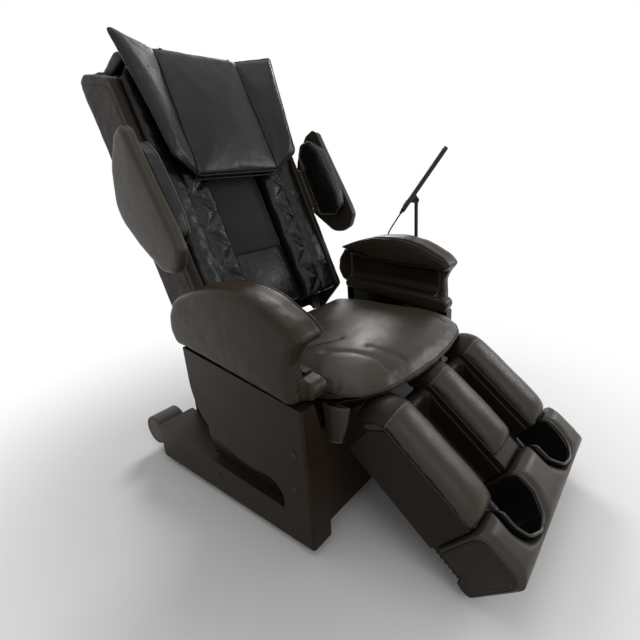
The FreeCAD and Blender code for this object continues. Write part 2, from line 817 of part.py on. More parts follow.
def front_fascia():
    half = BASE_HALF_WIDTH - POST_SEAM_WIDTH - GAP
    panel = box(-half, half, FASCIA_Y, FASCIA_Y + SHEET, GLIDE_HEIGHT + 18, FASCIA_TOP)
    rod_way = box(
        LEG_ACTUATOR_X - PUSH_ROD_RADIUS - 4,
        LEG_ACTUATOR_X + PUSH_ROD_RADIUS + 4,
        FASCIA_Y - 1,
        FASCIA_Y + SHEET + 1,
        LEG_ROD_Z - PUSH_ROD_RADIUS - 4,
        LEG_ROD_Z + PUSH_ROD_RADIUS + 4,
    )
    arm_ways = []
    for side in (-1, 1):
        x = side * BRACKET_X
        arm_ways.append(box(x - 8, x + 8, FASCIA_Y - 1, FASCIA_Y + SHEET + 1, FRAME_TOP - 70, FASCIA_TOP + 1))
    return cut(panel, rod_way, *arm_ways)


def rear_base_cover():
    """A tray behind the seat with a tall rear wall; the power panel looks out through it."""
    half = REAR_COVER_HALF
    y0 = SLOT_REAR_Y
    y1 = REAR_COVER_Y
    floor_z = GLIDE_HEIGHT + TUBE + GAP
    top = REAR_COVER_TOP
    outer = prism_x(
        [(y0, floor_z), (y1, floor_z), (y1, top - 40), ((y1 - 12, top - 12), (y1 - 40, top)), (y0, top)],
        -half,
        half,
    )
    inner = prism_x(
        [
            (y0 - 1, floor_z + SHEET),
            (y1 - SHEET, floor_z + SHEET),
            (y1 - SHEET, top - 40),
            ((y1 - 15, top - 15), (y1 - 40, top - SHEET)),
            (y0 - 1, top - SHEET),
        ],
        -half + SHEET,
        half - SHEET,
    )
    lever_way = box(
        BACK_ACTUATOR_X - 40, BACK_ACTUATOR_X + 40, y0 - 1, y1 - 50, top - SHEET - 1, top + 1
    )
    panel_way = box(PANEL_X, PANEL_X + PANEL_WIDTH, y1 - SHEET - 1, y1 + 1, PANEL_Z, PANEL_Z + PANEL_HEIGHT)
    return cut(outer, inner, lever_way, panel_way)


def power_panel():
    """The plate with the mains inlet's socket and the hole for the rocker switch."""
    y1 = REAR_COVER_Y
    x0 = PANEL_X + GAP
    z0 = PANEL_Z + GAP
    plate = box(x0, x0 + PANEL_WIDTH - 2 * GAP, y1 - SHEET - 16, y1 + 1.5, z0, z0 + PANEL_HEIGHT - 2 * GAP)
    inlet_x = x0 + 24
    middle = z0 + PANEL_HEIGHT / 2
    socket = box(inlet_x - 13.5, inlet_x + 13.5, y1 - 14, y1 + 2, middle - 9, middle + 9)
    pin_places = (inlet_x - 7, inlet_x, inlet_x + 7)
    pins = [box(x - 1, x + 1, y1 - 15, y1 - 4, middle - 2, middle + 2) for x in pin_places]
    switch_x = x0 + SWITCH_FROM_SIDE
    switch_way = box(
        switch_x - SWITCH_HALF, switch_x + SWITCH_HALF, y1 - 14, y1 + 2, middle - 14, middle + 14
    )
    return fused(cut(plate, socket, switch_way), *pins)


def power_switch():
    """A rocker on a short axle in the power panel."""
    y1 = REAR_COVER_Y
    middle = PANEL_Z + GAP + PANEL_HEIGHT / 2
    switch_x = PANEL_X + GAP + SWITCH_FROM_SIDE
    return prism_x(
        [
            (y1 - 8, middle - 8),
            (y1 - 1, middle - 11),
            (y1 + 4, middle - 11),
            ((y1 + 1.2, middle), (y1 + 0.5, middle + 11)),
            (y1 - 4, middle + 11),
            (y1 - 8, middle + 8),
        ],
        switch_x - SWITCH_HALF + GAP,
        switch_x + SWITCH_HALF - GAP,
    )


def side_screw_caps():
    caps = []
    for y, z in SCREW_SPOTS:
        cap = rod((BASE_HALF_WIDTH, y, z), (BASE_HALF_WIDTH + SCREW_CAP_HEIGHT, y, z), SCREW_CAP_RADIUS)
        caps += [cap, mirrored(cap)]
    return group(caps)


def actuator_housing(x, z, y0, y1, bore_end):
    """A motor and gearbox in line with a bored tube, which the push rod slides in."""
    tube = rod((x, y0, z), (x, y1, z), PUSH_ROD_RADIUS + 5)
    toward = 1 if y1 > y0 else -1
    motor_y = y0 + toward * 70
    motor = rod((x, y0, z), (x, motor_y, z), MOTOR_RADIUS)
    foot = box(x - 14, x + 14, FRONT_CROSS_Y - 8, FRONT_CROSS_Y + 8, z - MOTOR_RADIUS, z)
    foot_rear = box(x - 14, x + 14, -8, 8, z - MOTOR_RADIUS, z)
    bore = rod((x, bore_end, z), (x, y1 + toward, z), PUSH_ROD_RADIUS + RUNNING_GAP)
    return cut(fused(tube, motor, foot, foot_rear), bore)


def push_rod(x, z, tongue_y, slot_z, inner_y):
    """A rod whose slotted tongue takes the lever's pin."""
    slot_y = LEVER_PIN_RADIUS + SLIDE_GAP
    wall = 4.0
    tongue = box(x - TONGUE / 2, x + TONGUE / 2, tongue_y - slot_y - wall, tongue_y + slot_y + wall,
                 z - slot_z - wall, z + slot_z + wall)
    stem = rod((x, tongue_y, z), (x, inner_y, z), PUSH_ROD_RADIUS)
    slot = box(x - TONGUE, x + TONGUE, tongue_y - slot_y, tongue_y + slot_y, z - slot_z, z + slot_z)
    return cut(fused(tongue, stem), slot)


def leg_actuator():
    pin_y, pin_z = lever_end(LEG_HINGE_Y, LEG_HINGE_Z, LEG_LEVER, LEG_RANGE)
    x, z = LEG_ACTUATOR_X, LEG_ROD_Z
    housing = actuator_housing(x, z, 15, FRONT_CROSS_Y - 20, -90)
    return housing, push_rod(x, z, pin_y, slot_half(LEG_LEVER, LEG_RANGE), -95)


def back_actuator():
    pin_y, pin_z = lever_end(HINGE_Y, HINGE_Z, BACK_LEVER, RECLINE_RANGE)
    x, z = BACK_ACTUATOR_X, BACK_ROD_Z
    housing = actuator_housing(x, z, FRONT_CROSS_Y - 8, 22, FRONT_CROSS_Y + 45)
    return housing, push_rod(x, z, pin_y, slot_half(BACK_LEVER, RECLINE_RANGE), -100)


def air_supply():
    """The air pump with its valve block beside it, for the seat's and leg rest's air cells."""
    z0 = GLIDE_HEIGHT + TUBE + GAP
    x1 = FRAME_HALF_WIDTH - PUMP_INSET
    x0 = x1 - PUMP_WIDTH
    top = z0 + PUMP_HEIGHT
    pump = rounded(box(x0, x1, PUMP_FRONT_Y, PUMP_REAR_Y, z0, top), 8.0, lambda m: near(m.z, top))
    block_rear = PUMP_REAR_Y + VALVE_LENGTH
    block = box(x0 + 10, x1 - 10, PUMP_REAR_Y - 1, block_rear, z0, z0 + VALVE_HEIGHT)
    nozzles = []
    for i in range(NOZZLES):
        x = x0 + 22 + NOZZLE_PITCH * i
        y = block_rear - 22
        nozzles.append(rod((x, y, z0 + VALVE_HEIGHT), (x, y, z0 + VALVE_HEIGHT + NOZZLE_HEIGHT), NOZZLE_RADIUS))
    return fused(pump, block, *nozzles)


def control_box():
    z0 = GLIDE_HEIGHT + TUBE + GAP + SHEET + GAP
    top = z0 + CONTROL_BOX_HEIGHT
    case = box(
        CONTROL_BOX_X,
        CONTROL_BOX_X + CONTROL_BOX_WIDTH,
        CONTROL_BOX_Y,
        CONTROL_BOX_Y + CONTROL_BOX_LENGTH,
        z0,
        top,
    )
    return rounded(case, 5.0, lambda m: near(m.z, top))


def transport_roller():
    tread = rod((ROLLER_INNER, ROLLER_Y, ROLLER_Z), (ROLLER_OUTER, ROLLER_Y, ROLLER_Z), ROLLER_RADIUS)
    tread = rounded(tread, 5.0, lambda m: True)
    dish_end = (ROLLER_OUTER + 1, ROLLER_Y, ROLLER_Z)
    dish = rod((ROLLER_OUTER - ROLLER_DISH, ROLLER_Y, ROLLER_Z), dish_end, ROLLER_RADIUS - ROLLER_RIM)
    bore_end = (ROLLER_OUTER - AXLE_SHORT + GAP, ROLLER_Y, ROLLER_Z)
    bore = rod((ROLLER_INNER - 1, ROLLER_Y, ROLLER_Z), bore_end, AXLE_RADIUS + RUNNING_GAP)
    return cut(tread, dish, bore)


def roller_axle():
    start = (ROLLER_INNER - GAP - ROLLER_EAR - 3, ROLLER_Y, ROLLER_Z)
    return rod(start, (ROLLER_OUTER - AXLE_SHORT, ROLLER_Y, ROLLER_Z), AXLE_RADIUS)


# Seat

def seat_pan():
    """The board under the cushion with the upholstered apron across its front and down its front corners."""
    board = prism_z(
        [
            (-FRAME_HALF_WIDTH + 3, FRAME_REAR_Y),
            (-FRAME_HALF_WIDTH + 3, FRAME_FRONT_Y - 3),
            (FRAME_HALF_WIDTH - 3, FRAME_FRONT_Y - 3),
            (FRAME_HALF_WIDTH - 3, FRAME_REAR_Y),
        ],
        FRAME_TOP + GAP,
        SEAT_BOTTOM - GAP,
    )
    inside = FRAME_HALF_WIDTH - PAN_RIM
    hollow = box(
        -inside, inside, FRAME_FRONT_Y + TUBE, FRAME_REAR_Y - TUBE, FRAME_TOP - 1, SEAT_BOTTOM - GAP - 8
    )
    apron = prism_z(
        [
            (-FRAME_HALF_WIDTH + 1, FRAME_FRONT_Y - 1),
            (-FRAME_HALF_WIDTH + 1, FRAME_FRONT_Y - 8),
            ((0, APRON_Y), (FRAME_HALF_WIDTH - 1, FRAME_FRONT_Y - 8)),
            (FRAME_HALF_WIDTH - 1, FRAME_FRONT_Y - 1),
        ],
        FASCIA_TOP + 2,
        SEAT_BOTTOM - GAP,
    )
    wing_inner = LEG_HALF_WIDTH + APRON_WING_GAP
    wing = prism_z(
        [
            (wing_inner, FRAME_FRONT_Y - 4),
            (FRAME_HALF_WIDTH - 1, FRAME_FRONT_Y - 4),
            (FRAME_HALF_WIDTH - 1, APRON_WING_Y + 28),
            ((FRAME_HALF_WIDTH - 5, APRON_WING_Y + 10), (wing_inner, APRON_WING_Y)),
        ],
        APRON_WING_LOW,
        SEAT_BOTTOM - GAP,
    )
    fascia_way = box(
        wing_inner - 1, FRAME_HALF_WIDTH, FASCIA_Y - 1, FRAME_FRONT_Y, APRON_WING_LOW - 1, FASCIA_TOP + 2
    )
    wing = wing.cut(fascia_way)
    arm_ways = [
        box(s * BRACKET_X - 8, s * BRACKET_X + 8, APRON_Y - 1, FRAME_FRONT_Y, FASCIA_TOP, FRAME_TOP + 3)
        for s in (-1, 1)
    ]
    return cut(fused(cut(board, hollow), apron, wing, mirrored(wing)), *arm_ways)


def seat_section(y, half, low, shoulder, crown):
    """Flat underneath, full at the sides and crowned on top."""
    belly = (low + shoulder) / 2
    side = half - 7
    return Part.Wire([
        line_edge((-side, y, low), (side, y, low)),
        arc_edge((side, y, low), (half, y, belly), (side, y, shoulder)),
        arc_edge((side, y, shoulder), (0, y, crown), (-side, y, shoulder)),
        arc_edge((-side, y, shoulder), (-half, y, belly), (-side, y, low)),
    ])


def seat_cushion():
    """The cushion swells to its crown, is drawn in behind and rolls over at the nose."""
    length = SEAT_REAR_Y - SEAT_NOSE_Y
    sections = []
    for i in range(SEAT_SECTIONS + 1):
        y = SEAT_REAR_Y - length * i / SEAT_SECTIONS
        behind = max(0.0, 1 - (SEAT_REAR_Y - y) / 110) ** 2
        ahead = max(0.0, 1 - (y - SEAT_NOSE_Y) / 170) ** 2
        under = min(1.0, max(0.0, (-y - 300) / 80))
        low = SEAT_BOTTOM + under * (NOSE_BOTTOM - SEAT_BOTTOM)
        shoulder = SEAT_SHOULDER - 14 * behind - 18 * ahead
        crown = SEAT_CROWN - 22 * behind - 34 * ahead
        sections.append(seat_section(y, SEAT_HALF_WIDTH - 24 * behind - 105 * ahead, low, shoulder, crown))
    return loft(sections)


# Armrests

def armrest_shell():
    """The outer wall and the hood over the forearm channel."""
    front = ARM_WALL_FRONT_Y
    top = ARM_TOP
    hood_top = top - ARM_INNER_DROP
    wall = prism_x(
        [
            (SIDE_REAR_Y, ARM_BOTTOM_REAR),
            (119, 512),
            (108, 568),
            ((96, 588), (70, top - 42)),
            ((-60, top - 8), (-170, top)),
            ((-252, top - 16), (front, top - ARM_NOSE_DROP)),
            (front, ARM_BOTTOM_FRONT),
        ],
        ARM_WALL_INNER,
        ARM_OUTER,
    )
    hood = prism_x(
        [
            (60, CHANNEL_TOP + 24),
            (70, hood_top - 34),
            ((-60, hood_top), (-170, hood_top - 2)),
            ((-246, hood_top - 24), (front, hood_top - HOOD_NOSE_DROP)),
            ((ARM_FRONT_Y, 556), (ARM_FRONT_Y + 4, CHANNEL_TOP - 6)),
            ((ARM_FRONT_Y + 14, CHANNEL_TOP - 12), (front, CHANNEL_TOP)),
        ],
        ARM_INNER,
        ARM_OUTER - HOOD_INSET,
    )
    return fused(wall, hood)


def armrest_lower_pad():
    """The pad below the forearm channel, fuller at its rounded front."""
    y0 = ARM_FRONT_Y
    low = arm_bottom(y0) + GAP
    return prism_x(
        [
            (60, arm_bottom(60) + GAP),
            (60, CHANNEL_BOTTOM - 6),
            ((-120, CHANNEL_BOTTOM - 6), (-270, CHANNEL_BOTTOM - 20)),
            ((y0 + 12, CHANNEL_BOTTOM - 27), (y0, CHANNEL_BOTTOM - 50)),
            ((y0 + 3, low + 12), (y0 + 16, arm_bottom(y0 + 16) + GAP)),
        ],
        ARM_INNER,
        ARM_WALL_INNER - GAP,
    )


# Backrest, drawn upright with its depth along y and its height along z

def above_shoulders(inner=SHOULDER_INNER):
    """The spaces above the back's two top corners, which slope down towards the front."""
    space = prism_x(
        [
            (BACK_FRONT - 20, SHOULDER_LOW),
            (BACK_FRONT - 20, BACK_TOP + 20),
            (SHOULDER_REAR_T, BACK_TOP + 20),
            (SHOULDER_REAR_T, BACK_TOP),
        ],
        inner,
        BACK_HALF_WIDTH + 1,
    )
    return [space, mirrored(space)]


def back_frame():
    """The tube frame with pad boards, guide rods, lever, pivot plates and the pillow's lugs."""
    half = BACK_TUBE / 2
    top = TOP_CROSS_S + BACK_TUBE
    board_z = PAD_BOARD_FRONT + PAD_BOARD
    outer = BACK_HALF_WIDTH - BOLSTER
    pivot_x = BACK_TUBE_X + half - 4
    plate = prism_x(
        [(0, 90), (-19, 0), ((0, -19), (19, 0)), (BACK_TUBE, 60), (BACK_TUBE, 90)],
        pivot_x,
        pivot_x + 8,
    )
    lug_low = SIDE_PAD_TOP + GAP
    lug_x0 = PILLOW_LUG_X - PILLOW_LUG_WIDTH / 2
    lug = prism_x(
        [
            (BACK_TUBE, top - 2),
            (0, top - 2),
            (0, lug_low),
            (PILLOW_AXIS_T + 8, lug_low),
            (PILLOW_AXIS_T - 8, lug_low + 8),
            (PILLOW_AXIS_T - 8, PILLOW_AXIS_S),
            ((PILLOW_AXIS_T, PILLOW_AXIS_S + 8), (PILLOW_AXIS_T + 8, PILLOW_AXIS_S)),
            (PILLOW_AXIS_T + 8, lug_low + 5),
            (BACK_TUBE, lug_low + 5),
        ],
        lug_x0,
        lug_x0 + PILLOW_LUG_WIDTH,
    )
    half_parts = [
        box(BACK_TUBE_X - half, BACK_TUBE_X + half, 0, BACK_TUBE, LOW_CROSS_S, top),
        plate,
        rod((GUIDE_X, half, LOW_CROSS_S + 2), (GUIDE_X, half, top - 2), GUIDE_RADIUS),
        box(SIDE_PAD_INNER + 2, outer - GAP, PAD_BOARD_FRONT, board_z, SIDE_PAD_LOW, SIDE_PAD_TOP),
        box(BACK_TUBE_X - 8, BACK_TUBE_X + 8, board_z - 1, 1, 110, 140),
        box(BACK_TUBE_X - 8, BACK_TUBE_X + 8, board_z - 1, 1, 700, 730),
        lug,
        rod((lug_x0 - 18, PILLOW_AXIS_T, PILLOW_AXIS_S), (lug_x0 + 24, PILLOW_AXIS_T, PILLOW_AXIS_S),
            PILLOW_ROD_RADIUS),
    ]
    parts = []
    for piece in half_parts:
        parts += [piece, mirrored(piece)]
    for s in (LOW_CROSS_S, TOP_CROSS_S):
        parts.append(box(-BACK_TUBE_X, BACK_TUBE_X, 0, BACK_TUBE, s, s + BACK_TUBE))
    parts += lever_plates()
    solid = fused(*parts)
    hole_x = pivot_x - PIVOT_RADIUS - 12
    holes = [
        rod((s * hole_x, 0, 0), (s * (pivot_x + 9), 0, 0), PIVOT_RADIUS + RUNNING_GAP)
        for s in (-1, 1)
    ]
    return cut(solid, *holes, *above_shoulders())


def lever_plates():
    """Two plates and a pin that take the recline actuator's tongue."""
    lean = math.radians(BACK_LEAN)
    swing = math.radians(RECLINE_RANGE / 2)
    pin_t = BACK_LEVER * math.sin(swing + lean)
    pin_s = -BACK_LEVER * math.cos(swing + lean)
    gap = TONGUE / 2 + 2
    plates = []
    for x0 in (BACK_ACTUATOR_X - gap - LEVER_PLATE, BACK_ACTUATOR_X + gap):
        plates.append(prism_x(
            [
                (0, LOW_CROSS_S + BACK_TUBE),
                (0, LOW_CROSS_S),
                (pin_t - 8, pin_s - 4),
                ((pin_t + 2, pin_s - 9), (pin_t + 8, pin_s + 4)),
                (BACK_TUBE, LOW_CROSS_S),
                (BACK_TUBE, LOW_CROSS_S + BACK_TUBE),
            ],
            x0,
            x0 + LEVER_PLATE,
        ))
    half = gap + LEVER_PLATE
    pin = rod((BACK_ACTUATOR_X - half, pin_t, pin_s), (BACK_ACTUATOR_X + half, pin_t, pin_s), LEVER_PIN_RADIUS)
    return plates + [pin]


def back_rear_shell():
    """The shell that wraps the back: rear wall, side bolsters with sloping shoulders, and humped top."""
    inner = BACK_HALF_WIDTH - BOLSTER
    bolster = prism_x(
        [
            (BACK_FRONT, SIDE_PAD_LOW + 2),
            (BACK_FRONT, BACK_TOP - 40),
            ((BACK_FRONT + 10, BACK_TOP - 12), (BACK_FRONT + 40, BACK_TOP)),
            (BACK_REAR - 22, BACK_TOP),
            ((BACK_REAR - 6, BACK_TOP - 6), (BACK_REAR, BACK_TOP - 22)),
            (BACK_REAR, -20),
            (0, -20),
        ],
        inner,
        BACK_HALF_WIDTH,
    )
    bolster = rounded(bolster, 11.0, lambda m: near(m.x, BACK_HALF_WIDTH) and m.z > 0)
    top = prism_x(
        [
            (BACK_FRONT, SIDE_PAD_TOP + 6),
            (BACK_FRONT, BACK_TOP - 40),
            ((BACK_FRONT + 10, BACK_TOP - 12), (BACK_FRONT + 40, BACK_TOP)),
            (BACK_REAR - 22, BACK_TOP),
            ((BACK_REAR - 6, BACK_TOP - 6), (BACK_REAR, BACK_TOP - 22)),
            (BACK_REAR, 0),
            (BACK_REAR - SHELL_WALL, 0),
            (BACK_REAR - SHELL_WALL, SIDE_PAD_TOP + 6),
        ],
        -inner - 1,
        inner + 1,
    )
    hump = prism_y(
        [
            (-HUMP_HALF_WIDTH, BACK_TOP - 6),
            (-HUMP_HALF_WIDTH, BACK_TOP - 1),
            ((0, BACK_TOP + BACK_HUMP), (HUMP_HALF_WIDTH, BACK_TOP - 1)),
            (HUMP_HALF_WIDTH, BACK_TOP - 6),
        ],
        -44,
        BACK_REAR - 24,
    )
    wide = PILLOW_LUG_WIDTH / 2 + GAP
    lug_ways = [
        box(s * PILLOW_LUG_X - wide, s * PILLOW_LUG_X + wide, BACK_FRONT - 1, BACK_REAR - SHELL_WALL,
            SIDE_PAD_TOP, SIDE_PAD_TOP + 7)
        for s in (-1, 1)
    ]
    roof_ends = [
        box(SHOULDER_INNER, inner + 2, BACK_FRONT - 1, SHOULDER_STEP_T, SIDE_PAD_TOP + 5, BACK_TOP + 1),
        box(SHOULDER_INNER, inner + 2, SHOULDER_STEP_T - 1, SHOULDER_REAR_T, BACK_TOP - SHOULDER_STEP, BACK_TOP + 1),
    ]
    roof_ends += [mirrored(end) for end in roof_ends]
    return cut(fused(top, bolster, mirrored(bolster), hump), *lug_ways, *above_shoulders(inner + 2), *roof_ends)


def pad_section(s, x0, x1, back, shoulder, crown):
    """A section across a back pad: flat behind, drawn in at the sides, crowned in front."""
    middle = (x0 + x1) / 2
    side = (back + shoulder) / 2
    return Part.Wire([
        line_edge((x0, back, s), (x1, back, s)),
        arc_edge((x1, back, s), (x1 - DRAWN_IN, side, s), (x1, shoulder, s)),
        arc_edge((x1, shoulder, s), (middle, crown, s), (x0, shoulder, s)),
        arc_edge((x0, shoulder, s), (x0 + DRAWN_IN, side, s), (x0, back, s)),
    ])


def back_side_pad():
    """A tall pad with sewn tufts that draw its crown in, its outer top corner sloped like the shell."""
    x0 = SIDE_PAD_INNER + GAP
    x1 = BACK_HALF_WIDTH - BOLSTER - GAP
    back = PAD_BOARD_FRONT - GAP
    steps = TUFTS * TUFT_STEPS
    pitch = (SIDE_PAD_TOP - SIDE_PAD_LOW) / steps
    sections = []
    for i in range(steps + 1):
        drawn = TUFT_DEPTH * (1 - abs(math.sin(math.pi * i / TUFT_STEPS)))
        crown = SIDE_PAD_FRONT + drawn
        shoulder = SIDE_PAD_FRONT + 15 + drawn / 2
        sections.append(pad_section(SIDE_PAD_LOW + i * pitch, x0, x1, back, shoulder, crown))
    return cut(ruled_loft(sections), *above_shoulders())


def flat_pad(low, top, shoulder, crown, swell):
    """A pad between the side pads whose crown rises quickly from both its ends."""
    sections = []
    for i in range(PAD_STEPS + 1):
        share = i / PAD_STEPS
        rise = swell * (1 - abs(2 * share - 1) ** 3)
        s = low + (top - low) * share
        half = SIDE_PAD_INNER
        sections.append(pad_section(s, -half, half, CENTRE_PAD_BACK, shoulder, crown - rise))
    return ruled_loft(sections)


def back_centre_pad():
    """The thin strip of cloth-covered foam that the massage rollers work behind."""
    return flat_pad(LUMBAR_TOP + GAP, SIDE_PAD_TOP - GAP, CENTRE_PAD_FRONT + 3, CENTRE_PAD_FRONT, 3.5)


def back_lumbar_pad():
    return flat_pad(LUMBAR_LOW, LUMBAR_TOP, LUMBAR_FRONT + 12, LUMBAR_FRONT + 8, 8)


def carriage_screw():
    middle = BACK_TUBE / 2
    return rod((0, middle, LOW_CROSS_S + BACK_TUBE + GAP), (0, middle, TOP_CROSS_S - GAP), SCREW_RADIUS)


# Massage carriage

def carriage_chassis():
    middle = BACK_TUBE / 2
    s0 = CARRIAGE_LOW
    s1 = CARRIAGE_LOW + CARRIAGE_HEIGHT
    half = GUIDE_X + 18
    plate = box(-half, half, 0, BACK_TUBE, s0, s1)
    gearbox = rounded(box(-42, 42, BACK_TUBE - 1, BACK_REAR - SHELL_WALL - 5, s0 + 10, s1 - 10), 4.0,
                      lambda m: near(m.y, BACK_REAR - SHELL_WALL - 5))
    pins = [
        rod((s * ARM_PIVOT_X, 1, s0 + 45), (s * ARM_PIVOT_X, -16, s0 + 45), 6)
        for s in (-1, 1)
    ]
    solid = fused(plate, gearbox, *pins)
    bores = [
        rod((s * GUIDE_X, middle, s0 - 1), (s * GUIDE_X, middle, s1 + 1), GUIDE_RADIUS + RUNNING_GAP)
        for s in (-1, 1)
    ]
    bores.append(rod((0, middle, s0 - 1), (0, middle, s1 + 1), SCREW_RADIUS + RUNNING_GAP))
    return cut(solid, *bores)


def roller_arm():
    """The plate that swings on the carriage's pin, with the axle stub of its roller."""
    pivot_s = CARRIAGE_LOW + 45
    top = pivot_s + ARM_PIVOT_RISE
    inner = ARM_PIVOT_X - 1
    plate = prism_y(
        [
            (ARM_PIVOT_X - 12, pivot_s),
            ((ARM_PIVOT_X, pivot_s - 12), (ARM_PIVOT_X + 12, pivot_s)),
            (inner + 6, pivot_s + 20),
            (inner + 6, top + 12),
            (inner - 8, top + 12),
            (inner - 8, pivot_s + 20),
        ],
        -12,
        -4,
    )
    cheek = prism_x(
        [
            (-5, top - 12),
            (-5, top + 12),
            (MASSAGE_ROLLER_T + 8, top + 12),
            ((MASSAGE_ROLLER_T - 8, top), (MASSAGE_ROLLER_T + 8, top - 12)),
        ],
        inner,
        inner + 6,
    )
    stub_x = inner + 6 + GAP + MASSAGE_ROLLER_WIDTH + 2
    stub = rod((inner + 1, MASSAGE_ROLLER_T, top), (stub_x, MASSAGE_ROLLER_T, top), MASSAGE_AXLE_RADIUS)
    hole = rod((ARM_PIVOT_X, -20, pivot_s), (ARM_PIVOT_X, 0, pivot_s), 6 + RUNNING_GAP)
    return cut(fused(plate, cheek, stub), hole)


def massage_roller():
    pivot_s = CARRIAGE_LOW + 45
    top = pivot_s + ARM_PIVOT_RISE
    x0 = ARM_PIVOT_X + 5 + GAP
    x1 = x0 + MASSAGE_ROLLER_WIDTH
    ball = rod((x0, MASSAGE_ROLLER_T, top), (x1, MASSAGE_ROLLER_T, top), MASSAGE_ROLLER_RADIUS)
    ball = rounded(ball, 9.0, lambda m: True)
    bore_radius = MASSAGE_AXLE_RADIUS + RUNNING_GAP
    bore = rod((x0 - 1, MASSAGE_ROLLER_T, top), (x1 + 1, MASSAGE_ROLLER_T, top), bore_radius)
    return cut(ball, bore)


# Head pillow

def head_pillow():
    """A crowned centre panel between two wings that fold forward, hung on a rod at its top."""
    front = PILLOW_BACK - PILLOW_THICKNESS

    def panel(s, half, crown):
        side = (PILLOW_BACK + front) / 2
        return Part.Wire([
            line_edge((-half, PILLOW_BACK, s), (half, PILLOW_BACK, s)),
            line_edge((half, PILLOW_BACK, s), (half, front + 3, s)),
            arc_edge((half, front + 3, s), (0, crown, s), (-half, front + 3, s)),
            line_edge((-half, front + 3, s), (-half, PILLOW_BACK, s)),
        ])

    def wing(s_in, x_in, s_out, x_out, tip_t, tip):
        return Part.Wire([
            line_edge((x_in, PILLOW_BACK, s_in), (x_out, tip_t + tip, s_out)),
            line_edge((x_out, tip_t + tip, s_out), (x_out, tip_t, s_out)),
            line_edge((x_out, tip_t, s_out), (x_in, front + 3, s_in)),
            line_edge((x_in, front + 3, s_in), (x_in, PILLOW_BACK, s_in)),
        ])

    spread = PILLOW_BOTTOM_HALF - PILLOW_TOP_HALF
    centre = loft([
        panel(PILLOW_BOTTOM, PILLOW_BOTTOM_HALF, front),
        panel(PILLOW_BOTTOM + 22, PILLOW_BOTTOM_HALF - spread * 0.06, front - 7),
        panel(650, PILLOW_BOTTOM_HALF - spread * 0.5, front - 9),
        panel(PILLOW_TOP - 22, PILLOW_TOP_HALF + spread * 0.06, front - 6),
        panel(PILLOW_TOP, PILLOW_TOP_HALF, front),
    ])
    right_wing = Part.makeLoft([
        wing(PILLOW_TOP, PILLOW_TOP_HALF, WING_TIP_S, WING_TIP_X, WING_TIP_T, 15),
        wing(WING_CORNER_S - 32, PILLOW_BOTTOM_HALF - 1, WING_CORNER_S, WING_CORNER_X, WING_TIP_T + 1, 15),
    ], True, True)
    tail = Part.makeLoft([
        wing(WING_CORNER_S - 32, PILLOW_BOTTOM_HALF - 1, WING_CORNER_S, WING_CORNER_X, WING_TIP_T + 1, 15),
        wing(PILLOW_BOTTOM, PILLOW_BOTTOM_HALF, PILLOW_BOTTOM + 12, PILLOW_BOTTOM_HALF + 14, -151, 20),
    ], True, True)
    solid = fused(centre, right_wing, mirrored(right_wing), tail, mirrored(tail))
    ways = []
    for side in (-1, 1):
        x = side * PILLOW_LUG_X
        wide = PILLOW_LUG_WIDTH / 2 + 2
        way_low = SIDE_PAD_TOP - 2
        ways.append(box(x - wide, x + wide, PILLOW_AXIS_T - 10, PILLOW_BACK + 1, way_low, PILLOW_TOP + 1))
        ways.append(rod((side * 96, PILLOW_AXIS_T, PILLOW_AXIS_S), (side * 144, PILLOW_AXIS_T, PILLOW_AXIS_S),
                        PILLOW_ROD_RADIUS + RUNNING_GAP))
    return cut(solid, *ways)


# Shoulder supports

def shoulder_support():
    """A lens-shaped padded housing on a root block beside the back, drawn for the left side."""
    lens = prism_x(
        [
            (SUPPORT_FRONT + 12, SUPPORT_LOW),
            (SUPPORT_FRONT - SUPPORT_LEAN, SUPPORT_LOW + 30),
            (SUPPORT_FRONT, SUPPORT_TOP - 20),
            ((SUPPORT_FRONT + 8, SUPPORT_TOP - 4), (SUPPORT_FRONT + 30, SUPPORT_TOP)),
            ((SUPPORT_BACK - 40, SUPPORT_TOP - 70), (SUPPORT_BACK, 450)),
            ((SUPPORT_BACK - 32, 330), (-116, SUPPORT_LOW + 6)),
        ],
        SUPPORT_INNER,
        SUPPORT_OUTER,
    )
    lens = rounded(lens, 12.0, lambda m: near(m.x, SUPPORT_OUTER))
    root = box(BACK_HALF_WIDTH + GAP, SUPPORT_INNER + 1, -108, -30, 330, 480)
    return fused(lens, root)


def shoulder_pad():
    """The curved pad on the inner face of a shoulder support."""
    x1 = SUPPORT_INNER - GAP
    pad = prism_x(
        [
            (-112, 300),
            (-112, 520),
            (-140, 552),
            ((-182, 545), (SUPPORT_FRONT - 2, 505)),
            (SUPPORT_FRONT - 12, 336),
            ((SUPPORT_FRONT - 6, 292), (-172, 272)),
        ],
        SUPPORT_PAD_INNER,
        x1,
    )
    return rounded(pad, 8.0, lambda m: near(m.x, SUPPORT_PAD_INNER))


# Leg rest, drawn with its slope along -y and its thickness along z

def leg_section(u, x0, x1, ridge, crown):
    """A section across a calf pad's crown, from its inner piping over its ridge to its outer one."""
    return Part.Wire([
        line_edge((x0, -u, 0), (x1, -u, 0)),
        line_edge((x1, -u, 0), (x1, -u, LEG_PIPING)),
        arc_edge((x1, -u, LEG_PIPING), (ridge, -u, crown), (x0, -u, LEG_PIPING)),
        line_edge((x0, -u, LEG_PIPING), (x0, -u, 0)),
    ])


